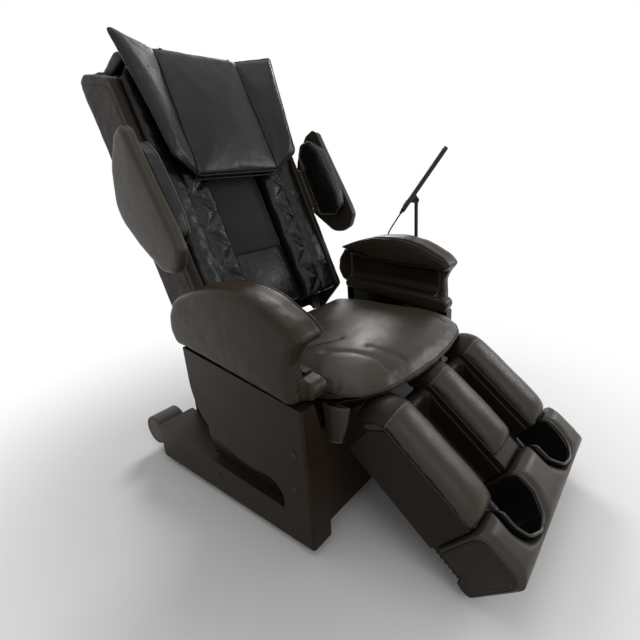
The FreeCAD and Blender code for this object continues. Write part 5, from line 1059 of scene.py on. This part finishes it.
def seat_board():
    """The pan under the cushion, without the corners that the bowls stand for."""
    board = soft_copy(["seat_pan"], "seat_board", SHADED_BROWN, "base", 3.0, 2)
    without_boxes(board, SEAT_PAN_CORNERS)


seat()
seat_apron()
seat_board()


# Leg rest pads: crowned covers that roll over the knee, on straight-sided blocks

KNEE = 76.0
PIPING_HEIGHT = 42.0
BLOCK_REAR = 28.7
LEG_END = 243.0
LEG_BLOCK_LOW = -86.0
COVER_UNDER = 20.0
COVER_START = 50.0
KNEE_BEHIND = -100.0
KNEE_ROWS = 26


def arched(across, half):
    """Height of a round crown over a pad, as a share, for places from -1 to 1 across it."""
    rise = KNEE - PIPING_HEIGHT
    radius = (half ** 2 + rise ** 2) / (2 * rise)
    return (np.sqrt(radius ** 2 - (half * across) ** 2) - (radius - rise)) / rise


def calf_cover(place, x0, x1, crown_end, lower_end):
    """The crowned cover as rows across, from behind the knee to the rounded end."""
    middle, half = (x0 + x1) / 2, (x1 - x0) / 2
    across = np.sin(np.linspace(-math.pi / 2, math.pi / 2, 26))
    hump = arched(across, half) ** 0.8
    rows = []
    for theta in np.linspace(KNEE_BEHIND, 0, KNEE_ROWS):
        angle = math.radians(theta)
        radius = PIPING_HEIGHT + (KNEE - PIPING_HEIGHT) * hump
        rows.append((radius * math.sin(angle), radius * math.cos(angle), 1.0))
    for u in np.linspace(0, crown_end, 40)[1:]:
        rows.append((np.full_like(hump, u), PIPING_HEIGHT + (KNEE - PIPING_HEIGHT) * hump, 1.0))
    for share in np.linspace(0, 1, 16)[1:]:
        angle = share * math.pi / 2
        u = crown_end + (lower_end - crown_end) * math.sin(angle)
        height = (KNEE - PIPING_HEIGHT) * (0.12 + 0.88 * math.cos(angle) ** 0.8)
        pull = 1 - 0.05 * share ** 3
        rows.append((np.full_like(hump, u), PIPING_HEIGHT + height * hump, pull))
    rings = []
    for u, v, pull in rows:
        x = middle + across * half * pull
        under_u = np.mean(u)
        if len(rings) < KNEE_ROWS:
            angle = math.radians(KNEE_BEHIND * (1 - len(rings) / (KNEE_ROWS - 1)))
            under_u, under_v = COVER_UNDER * math.sin(angle), COVER_UNDER * math.cos(angle)
        else:
            under_v = COVER_UNDER
        front = place(x, u, v)
        under = place(x[::-5], np.broadcast_to(under_u, x.shape)[::-5], under_v)
        rings.append(np.vstack([front, under]))
    behind = math.radians(KNEE_BEHIND)
    start = place(middle, COVER_START * math.sin(behind), COVER_START * math.cos(behind))
    return skin(rings, True, start, place(middle, lower_end, PIPING_HEIGHT - 4))


def calf_piping(place, x0, x1, lower_end):
    """One welt up the inner side, round behind the knee's edge, and down the outer side."""
    lines = []
    for x in (x0, x1):
        knee = [(x, PIPING_HEIGHT * math.sin(math.radians(a)), PIPING_HEIGHT * math.cos(math.radians(a)))
                for a in np.linspace(-96, 0, 20)]
        straight = [(x, u, PIPING_HEIGHT) for u in np.linspace(0, lower_end - 12, 40)[1:]]
        lines.append(knee + straight)
    end = [(x, lower_end + 0.5, PIPING_HEIGHT) for x in np.linspace(x0 + 12, x1 - 12, 20)]
    whole = np.array(lines[0] + end + lines[1][::-1])
    return place(*resample(whole, 260).T)


def leg_pad(place, x0, x1, crown_end, lower_end):
    """Returns the crowned cover's and the block's meshes and the welt's path."""
    crown = calf_cover(place, x0, x1, crown_end, lower_end)
    ring = rounded([
        (-BLOCK_REAR, 0, 26), (-BLOCK_REAR, LEG_BLOCK_LOW, 6), (LEG_END, LEG_BLOCK_LOW, 8),
        (LEG_END, PIPING_HEIGHT, 6), (0, PIPING_HEIGHT, 26),
    ], 120)
    block = plate(place, ring, (107.0, -28.0), x0, x1, 2.0, 2.0)
    return crown, block, calf_piping(place, x0, x1, lower_end)


OUTER_PAD = (158.0, 268.0, 194.0, 243.0)
CENTRE_PAD = (-52.0, 52.0, 169.0, 205.0)


def knee_shade_strip(place, x0, x1):
    """A darker strip of leather over a pad's knee roll, as painted shade on the pad's rear, with a welt
    across its lower edge.
    """
    middle, half = (x0 + x1) / 2, (x1 - x0) / 2
    across = np.sin(np.linspace(-math.pi / 2, math.pi / 2, 26)) * 0.985
    hump = arched(across, half) ** 0.8
    rows = []
    for theta in np.linspace(-98, -14, 24):
        angle = math.radians(theta)
        radius = PIPING_HEIGHT + (KNEE - PIPING_HEIGHT) * hump + 1.0
        rows.append(place(middle + across * half, radius * math.sin(angle), radius * math.cos(angle)))
    return skin(rows, False), tube(rows[-1], 1.7)


def tucked(cover, spans):
    """Draws the covers' sides in under the piping, where the blocks show."""
    points = read_points(cover)
    local = LEG.local(points)
    x, u, v = local.T
    level = np.where(u < 0, np.hypot(u, v), v)
    under = smoothstep(PIPING_HEIGHT + 1, PIPING_HEIGHT - 5, level)
    for x0, x1, *_ in spans:
        middle, half = (x0 + x1) / 2, (x1 - x0) / 2
        inside = np.abs(x - middle) < half + 8
        limit = half + 1.5 - 5.0 * under
        local[:, 0] = np.where(inside, np.clip(local[:, 0], middle - limit, middle + limit), local[:, 0])
    end = np.where(under > 0.5, LEG_END - 3.0, LEG_END + 8.0)
    local[:, 1] = np.minimum(local[:, 1], end)
    write_points(cover, LEG(*local.T))


def leg_pads():
    outer_crowns, blocks, welts, shade_strips = [], [], [], []
    for way in SIDES.values():
        crown, block, welt = leg_pad(mirrored_place(LEG, way), *OUTER_PAD)
        outer_crowns.append(crown)
        blocks.append(block)
        welts.append(welt)
        shade_strips.append(knee_shade_strip(mirrored_place(LEG, way), *OUTER_PAD[:2]))
    outer = piece("leg_outer_cover", gathered(outer_crowns), TAUPE, "legrest",
                  ["legrest_outer_pads"])
    crown, block, welt = leg_pad(LEG, *CENTRE_PAD)
    centre = piece("leg_centre_cover", crown, TAUPE, "legrest", ["legrest_centre_pad"])
    welts.append(welt)
    blocks.append(block)
    shade_strips.append(knee_shade_strip(LEG, *CENTRE_PAD[:2]))
    outer_spans = [OUTER_PAD, (-OUTER_PAD[1], -OUTER_PAD[0])]
    for cover, seed, spans in ((outer, 42, outer_spans), (centre, 43, [CENTRE_PAD])):
        inflated(cover, 4.0, 4.0)
        smoothed(cover, 3)
        tucked(cover, spans)
        wrinkled(cover, 0.7, 90, seed)
        wrinkled(cover, 0.12, 22, seed + 2)
        subdivided(cover)
    # The blocks' sides in the darker copy of the leather: painted shade below the piping.
    blocks = piece("leg_blocks", gathered(blocks), SHADED_BROWN, "legrest")
    piece("leg_piping", gathered([tube(path, 2.6) for path in welts]), PIPING, "legrest")
    # Dark strips over the knee rolls: painted shade; their light welts: painted highlight.
    shade_strip = piece("knee_shade_strips", gathered([sheet for sheet, _ in shade_strips]), SHADED_BROWN, "legrest")
    solidified(shade_strip, 2.0)
    piece("knee_shade_strip_piping", gathered([welt for _, welt in shade_strips]), HIGHLIGHT_PIPING, "legrest")


CALF_CHANNEL = (52.5, 157.5)
CALF_FLOOR = -37.5
CALF_KNEE = 25.0
CALF_LIP = 31.0
CALF_LIP_LOW = 26.0


def calf_lining():
    """The soft trough between two pads: it rolls over the knee, dips to its floor and sags in its middle."""
    parts = []
    for way in SIDES.values():
        place = mirrored_place(LEG, way)
        x0, x1 = CALF_CHANNEL
        rows = []
        for theta in np.linspace(-96, -4, 14):
            angle = math.radians(theta)
            xs = np.linspace(x0 + 1, x1 - 1, 34)
            radius = CALF_KNEE + (CALF_LIP - CALF_KNEE) * np.abs(np.linspace(-1, 1, 34)) ** 4
            rows.append(place(xs, radius * math.sin(angle), radius * math.cos(angle)))
        for u in np.linspace(2, 242, 64):
            floor = CALF_KNEE - (CALF_KNEE - CALF_FLOOR) * smoothstep(-6, 52, u)
            side = CALF_LIP - (CALF_LIP - CALF_LIP_LOW) * smoothstep(0, 40, u)
            section = rounded([(x0 + 1, side, 3), (x0 + 2, floor + 12, 14), (x0 + 16, floor + 1.5, 14),
                               (x1 - 16, floor + 1.5, 14), (x1 - 2, floor + 12, 14), (x1 - 1, side, 3)], 34,
                              closed=False)
            lift = [1.6 * noise.noise(Vector((x * 0.03, u * 0.02, 3.0 * way))) for x in section[:, 0]]
            rows.append(place(section[:, 0], u, section[:, 1] + np.abs(lift)))
        parts.append(skin(rows, False))
    # The trough in the darker copy of the leather: painted shade between the pads.
    lining = piece("calf_lining", gathered(parts), SHADED_BROWN, "legrest")
    solidified(lining, 1.4)


leg_pads()
calf_lining()


# Foot box

FOOT_HALF = 279.0
FOOT_SIDE = [
    (247, -62, 2), (247, 70, 30), (372, 72, 26), (357, -86, 10), (318, -86, 2), (318, -62, 2),
]
WELL = [
    (62, 236, 1), (62, 304, 12), (96, 344, 30), (140, 352, 26), (182, 334, 30), (198, 300, 14), (198, 236, 1),
]
WELL_FLOOR = -43.0
FOOT_CROWN_TOP = 72.0
FOOT_CROWN_ROUND = 34.0
FOOT_CROWN_DROP = 0.8
FOOT_REAR = 247.0
FOOT_FRONT = 371.0
SLIDE_ROD_X = 140


def domed(box):
    """Rounds the lobes' tops off towards the wells, the sides and the ends."""
    points = read_points(box)
    local = LEG.local(points)
    x, u, v = local.T
    well = rounded(WELL, 160)
    shore = KDTree(len(well))
    for index, (a, b) in enumerate(well):
        shore.insert(Vector((a, b, 0)), index)
    shore.balance()
    from_well = np.array([shore.find(Vector((abs(a), b, 0)))[2] for a, b in zip(x, u)])
    edge = np.minimum.reduce([from_well, FOOT_HALF - np.abs(x), u - FOOT_REAR, FOOT_FRONT - u])
    short = np.clip(FOOT_CROWN_ROUND - edge, 0.0, FOOT_CROWN_ROUND)
    drop = FOOT_CROWN_DROP * (FOOT_CROWN_ROUND - np.sqrt(FOOT_CROWN_ROUND ** 2 - short ** 2))
    local[:, 2] = np.minimum(v, FOOT_CROWN_TOP - drop)
    write_points(box, LEG(*local.T))


def foot_box():
    side_view = prism(LEG, rounded(FOOT_SIDE, 160), -FOOT_HALF, FOOT_HALF)
    box = piece("foot_cover", side_view, TAUPE, "footrest", ["foot_box"])
    for way in SIDES.values():
        well = rounded(WELL, 120)
        cutter_place = lambda height, x, u, way=way: LEG(np.asarray(x) * way, u, height)
        cut_from(box, prism(cutter_place, well, WELL_FLOOR, 100.0))
    celled(box, 4.0)
    domed(box)
    smoothed(box, 12)
    wrinkled(box, 0.6, 90, 50)
    subdivided(box)
    along = np.linspace(60, 287, 8)
    rods = gathered([tube(LEG(np.full(8, x), along, -52.0), 6.0, 24) for x in (-SLIDE_ROD_X, SLIDE_ROD_X)])
    piece("foot_slide_rods", rods, BRIGHT, "footrest")


LINER = [
    (66, 250, 2), (66, 303, 14), (98, 340, 30), (140, 348, 26), (180, 331, 30), (194, 299, 16), (194, 250, 2),
]


def well_liners():
    """A glossy moulded liner in each well, with a rolled rim that follows the box's top."""
    parts, rims = [], []
    for way in SIDES.values():
        line = rounded(LINER, 90, closed=False)
        drop = 1 - smoothstep(250, 268, line[:, 1])
        top = 70.0 - 34.0 * drop ** 1.6
        place = mirrored_place(LEG, way)
        middle = np.array((130.0, 290.0))
        rows = []
        for share in (0.0, 0.1, 0.3, 0.55, 0.8, 0.93, 1.0):
            v = top + (WELL_FLOOR + 4.0 - top) * share
            draw = 5.0 * share ** 3
            toward = unit(middle - line)
            rows.append(place(line[:, 0] + toward[:, 0] * draw, line[:, 1] + toward[:, 1] * draw, v))
        for share in (0.6, 0.25):
            flat = middle + (line - middle) * share
            rows.append(place(flat[:, 0], np.maximum(flat[:, 1], 249.0), WELL_FLOOR + 3.6))
        parts.append(skin(rows, False))
        rims.append(tube(place(*line.T, top - 0.5), 3.6, 12))
    liner = piece("well_liners", gathered(parts), GLOSS_BLACK, "footrest",
                  ["foot_well_liners"])
    solidified(liner, 2.0)
    piece("well_rims", gathered(rims), GLOSS_BLACK, "footrest")


FOOT_PANEL = [
    (254, -55, 4), (254, 58, 28), (361, 58, 26), (348, -76, 8), (325, -78, 5), (324, -55, 4),
]
FOOT_PANEL_MIDDLE = (300.0, -4.0)


def foot_side_panels():
    parts, welts, rows = [], [], []
    middle = np.array(FOOT_PANEL_MIDDLE)
    for way in SIDES.values():
        place = mirrored_place(LEG, way)
        ring = rounded(FOOT_PANEL, 150)
        parts.append(plate(place, ring, middle, 277.0, 281.0, 0.5, 3.0, 1.5))
        welts.append(tube(place(279.5, *ring.T), 1.9, 8, True))
        inner = inset(ring, middle, 7.0)
        rows.append(stitches(place(281.6, *inner.T)))
    # The foot box's side panels in the darker copy of the leather: painted shade on the side faces.
    piece("foot_side_cover", gathered(parts), SHADED_SIDE_TAUPE, "footrest", ["foot_side_panels"])
    piece("foot_side_piping", gathered(welts), PIPING, "footrest")
    piece("foot_side_thread", gathered(rows), THREAD, "footrest")


BELLOWS = {"start": 243.5, "end": 317.5, "top": -62.5, "low": -91.5, "half": 263.0, "folds": 6}


def bellows():
    """Folded rubber between the leg rest's tray and the foot box."""
    b = BELLOWS
    middle = (b["top"] + b["low"]) / 2
    reach = (b["top"] - b["low"]) / 2
    rings = []
    steps = b["folds"] * 8
    for i in range(steps + 1):
        u = b["start"] + (b["end"] - b["start"]) * i / steps
        rise = reach - 0.7 * (1 - math.cos(2 * math.pi * i / 8))
        half = b["half"] - 0.6 * (1 - math.cos(2 * math.pi * i / 8))
        ring = rounded([(-half, middle - rise, 5), (half, middle - rise, 5), (half, middle + rise, 5),
                        (-half, middle + rise, 5)], 64)
        rings.append(LEG(ring[:, 0], u, ring[:, 1]))
    ends = [LEG(0.0, b["start"], middle), LEG(0.0, b["end"], middle)]
    skirt = piece("bellows_skirt", skin(rings, True, *ends), RUBBER, "", ["foot_bellows"])
    start, end = LEG(0.0, b["start"] + 1, middle), LEG(0.0, b["end"] - 1, middle)
    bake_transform(skirt)


foot_box()
well_liners()
foot_side_panels()
bellows()


# Controller cable: the route's points in metres, as in the part

CABLE_ROUTE = [
    (0.4026, -0.1159, 0.7021), (0.395, -0.1005, 0.6785), (0.410, -0.066, 0.640), (0.422, -0.038, 0.596),
    (0.428, -0.044, 0.552), (0.428, -0.074, 0.527), (0.426, -0.110, 0.520), (0.426, -0.1477, 0.520),
]
CABLE_DIAMETER = 0.005


def controller_cable():
    data = bpy.data.curves.new("cable_line", "CURVE")
    data.dimensions = "3D"
    data.resolution_u = 24
    line = data.splines.new("NURBS")
    line.points.add(len(CABLE_ROUTE) - 1)
    for point, place in zip(line.points, CABLE_ROUTE):
        point.co = (*place, 1)
    line.order_u = 3
    line.use_endpoint_u = True
    curve = bpy.data.objects.new("cable_line", data)
    bpy.context.scene.collection.objects.link(curve)
    bpy.context.view_layer.update()
    read = bpy.data.meshes.new_from_object(curve.evaluated_get(bpy.context.evaluated_depsgraph_get()))
    path = np.array([v.co for v in read.vertices])
    bpy.data.objects.remove(curve)
    cable = piece("controller_lead", tube(path, CABLE_DIAMETER / 2 / MM, 12), RUBBER, "",
                  ["controller_cable"])
    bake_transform(cable)


controller_cable()


# Hard pieces: the solids themselves, with softened edges

def finished(node, material, bevel=0.6):
    obj = NODES[node]
    obj.data.materials.clear()
    obj.data.materials.append(material)
    weld = obj.modifiers.new("weld", "WELD")
    weld.merge_threshold = 0.00001
    if bevel:
        edges = obj.modifiers.new("edges", "BEVEL")
        edges.width = bevel * MM
        edges.segments = 2
        edges.limit_method = "ANGLE"
        edges.angle_limit = math.radians(38)
    even = obj.modifiers.new("even", "WEIGHTED_NORMAL")
    even.keep_sharp = False


HARD = {
    "base_frame": PAINT, "floor_glides": RUBBER, "inner_side_shells": INNER, "front_fascia": COVER,
    "rear_base_cover": COVER, "power_panel": SATIN_BLACK, "side_screw_caps": SATIN_BLACK,
    "legrest_motor": SATIN_BLACK, "recline_motor": SATIN_BLACK, "air_supply": SATIN_BLACK,
    "control_box": SATIN_BLACK, "roller_axles": BRIGHT, "controller_bracket": SATIN_BLACK,
    "power_switch": GLOSS_BLACK, "recline_rod": BRIGHT, "legrest_rod": BRIGHT, "controller_post": SATIN_BLACK,
    "controller_housing": SATIN_BLACK, "controller_screen": GLASS, "cable_relief": RUBBER,
    "controller_knob": SATIN_BLACK, "power_button": BUTTON, "stop_button": STOP, "back_frame": PAINT,
    "carriage_screw": BRIGHT, "carriage_chassis": SATIN_BLACK, "legrest_frame": SATIN_BLACK,
    "bumper_feet": RUBBER,
}
for side in SIDES:
    HARD[f"lower_side_cover_{side}"] = COVER
    HARD[f"upper_side_panel_{side}"] = PANEL
    HARD[f"transport_roller_{side}"] = ROLLER
    HARD[f"roller_arm_{side}"] = SATIN_BLACK
    HARD[f"massage_roller_{side}"] = RUBBER
for node, material in HARD.items():
    finished(node, material)


# Camera, floor and light

CAMERA_PLACE = (-0.9128, -0.8546, 0.862)
CAMERA_YAW = 49.10
CAMERA_PITCH = 19.48
CAMERA_ROLL = -4.39
CAMERA_LENS = 23.66


def photo_camera():
    yaw, pitch, roll = (math.radians(a) for a in (CAMERA_YAW, CAMERA_PITCH, CAMERA_ROLL))
    forward = Vector((math.sin(yaw) * math.cos(pitch), math.cos(yaw) * math.cos(pitch), -math.sin(pitch)))
    level = Vector((math.cos(yaw), -math.sin(yaw), 0))
    rise = level.cross(forward)
    right = level * math.cos(roll) + rise * math.sin(roll)
    up = rise * math.cos(roll) - level * math.sin(roll)
    data = bpy.data.cameras.new("photo_camera")
    data.sensor_width = 36.0
    data.lens = CAMERA_LENS
    data.clip_start = 0.01
    camera = bpy.data.objects.new("photo_camera", data)
    turn = Matrix((right, up, -forward)).transposed().to_4x4()
    camera.matrix_world = Matrix.Translation(CAMERA_PLACE) @ turn
    bpy.context.scene.collection.objects.link(camera)
    bpy.context.scene.camera = camera


def seen_white(nodes, links):
    """1 for rays that show the background: from the camera, mirrored and through glass."""
    path = nodes.new("ShaderNodeLightPath")
    total = path.outputs["Is Camera Ray"]
    for name in ("Is Glossy Ray", "Is Transmission Ray"):
        add = nodes.new("ShaderNodeMath")
        add.operation = "MAXIMUM"
        links.new(total, add.inputs[0])
        links.new(path.outputs[name], add.inputs[1])
        total = add.outputs[0]
    return total


FLOOR_HALF = 14.0
FLOOR_COLOUR = (0.92, 0.92, 0.92, 1)
FLOOR_FADE_START = 0.6
FLOOR_FADE_END = 1.5


def floor():
    mesh = bpy.data.meshes.new("floor")
    h = FLOOR_HALF
    mesh.from_pydata([(-h, -h, 0), (h, -h, 0), (h, h, 0), (-h, h, 0)], [], [(0, 1, 2, 3)])
    obj = bpy.data.objects.new("floor", mesh)
    bpy.context.scene.collection.objects.link(obj)
    material, nodes, links = new_material("pale_floor")
    mesh.materials.append(material)
    shader = nodes["Principled BSDF"]
    shader.inputs["Base Color"].default_value = FLOOR_COLOUR
    shader.inputs["Roughness"].default_value = 0.9
    shader.inputs["Specular IOR Level"].default_value = 0.1
    coordinates = nodes.new("ShaderNodeTexCoord")
    distance = nodes.new("ShaderNodeVectorMath")
    distance.operation = "LENGTH"
    links.new(coordinates.outputs["Object"], distance.inputs[0])
    fade = nodes.new("ShaderNodeMapRange")
    fade.interpolation_type = "SMOOTHSTEP"
    fade.inputs["From Min"].default_value = FLOOR_FADE_START
    fade.inputs["From Max"].default_value = FLOOR_FADE_END
    links.new(distance.outputs["Value"], fade.inputs["Value"])
    shown = nodes.new("ShaderNodeMath")
    shown.operation = "MULTIPLY"
    links.new(fade.outputs["Result"], shown.inputs[0])
    links.new(seen_white(nodes, links), shown.inputs[1])
    glow = nodes.new("ShaderNodeEmission")
    mix = nodes.new("ShaderNodeMixShader")
    links.new(shown.outputs[0], mix.inputs["Fac"])
    links.new(shader.outputs[0], mix.inputs[1])
    links.new(glow.outputs[0], mix.inputs[2])
    links.new(mix.outputs[0], nodes["Material Output"].inputs["Surface"])


AMBIENT = 0.34


def surroundings():
    world = bpy.data.worlds.new("studio")
    world.use_nodes = True
    bpy.context.scene.world = world
    nodes, links = world.node_tree.nodes, world.node_tree.links
    dim = nodes["Background"]
    dim.inputs["Color"].default_value = (1, 1, 1, 1)
    dim.inputs["Strength"].default_value = AMBIENT
    white = nodes.new("ShaderNodeBackground")
    white.inputs["Color"].default_value = (1, 1, 1, 1)
    white.inputs["Strength"].default_value = 1.0
    mix = nodes.new("ShaderNodeMixShader")
    links.new(seen_white(nodes, links), mix.inputs["Fac"])
    links.new(dim.outputs[0], mix.inputs[1])
    links.new(white.outputs[0], mix.inputs[2])
    links.new(mix.outputs[0], nodes["World Output"].inputs["Surface"])


AIM = Vector((0.0, -0.1, 0.5))


def softbox(name, place, width, height, watts):
    data = bpy.data.lights.new(name, "AREA")
    data.shape = "RECTANGLE"
    data.size = width
    data.size_y = height
    data.energy = watts
    lamp = bpy.data.objects.new(name, data)
    lamp.location = place
    lamp.rotation_euler = (AIM - Vector(place)).to_track_quat("-Z", "Y").to_euler()
    bpy.context.scene.collection.objects.link(lamp)


photo_camera()
floor()
surroundings()
softbox("key_light", (2.1, 1.5, 2.1), 1.3, 0.9, 46)
softbox("side_light", (2.6, -2.0, 1.7), 1.0, 0.8, 26)
softbox("top_light", (0.0, -0.2, 3.0), 1.6, 1.6, 11)
softbox("front_light", (-1.4, -2.6, 2.2), 1.2, 1.2, 11)

bpy.context.scene.view_settings.view_transform = "Standard"
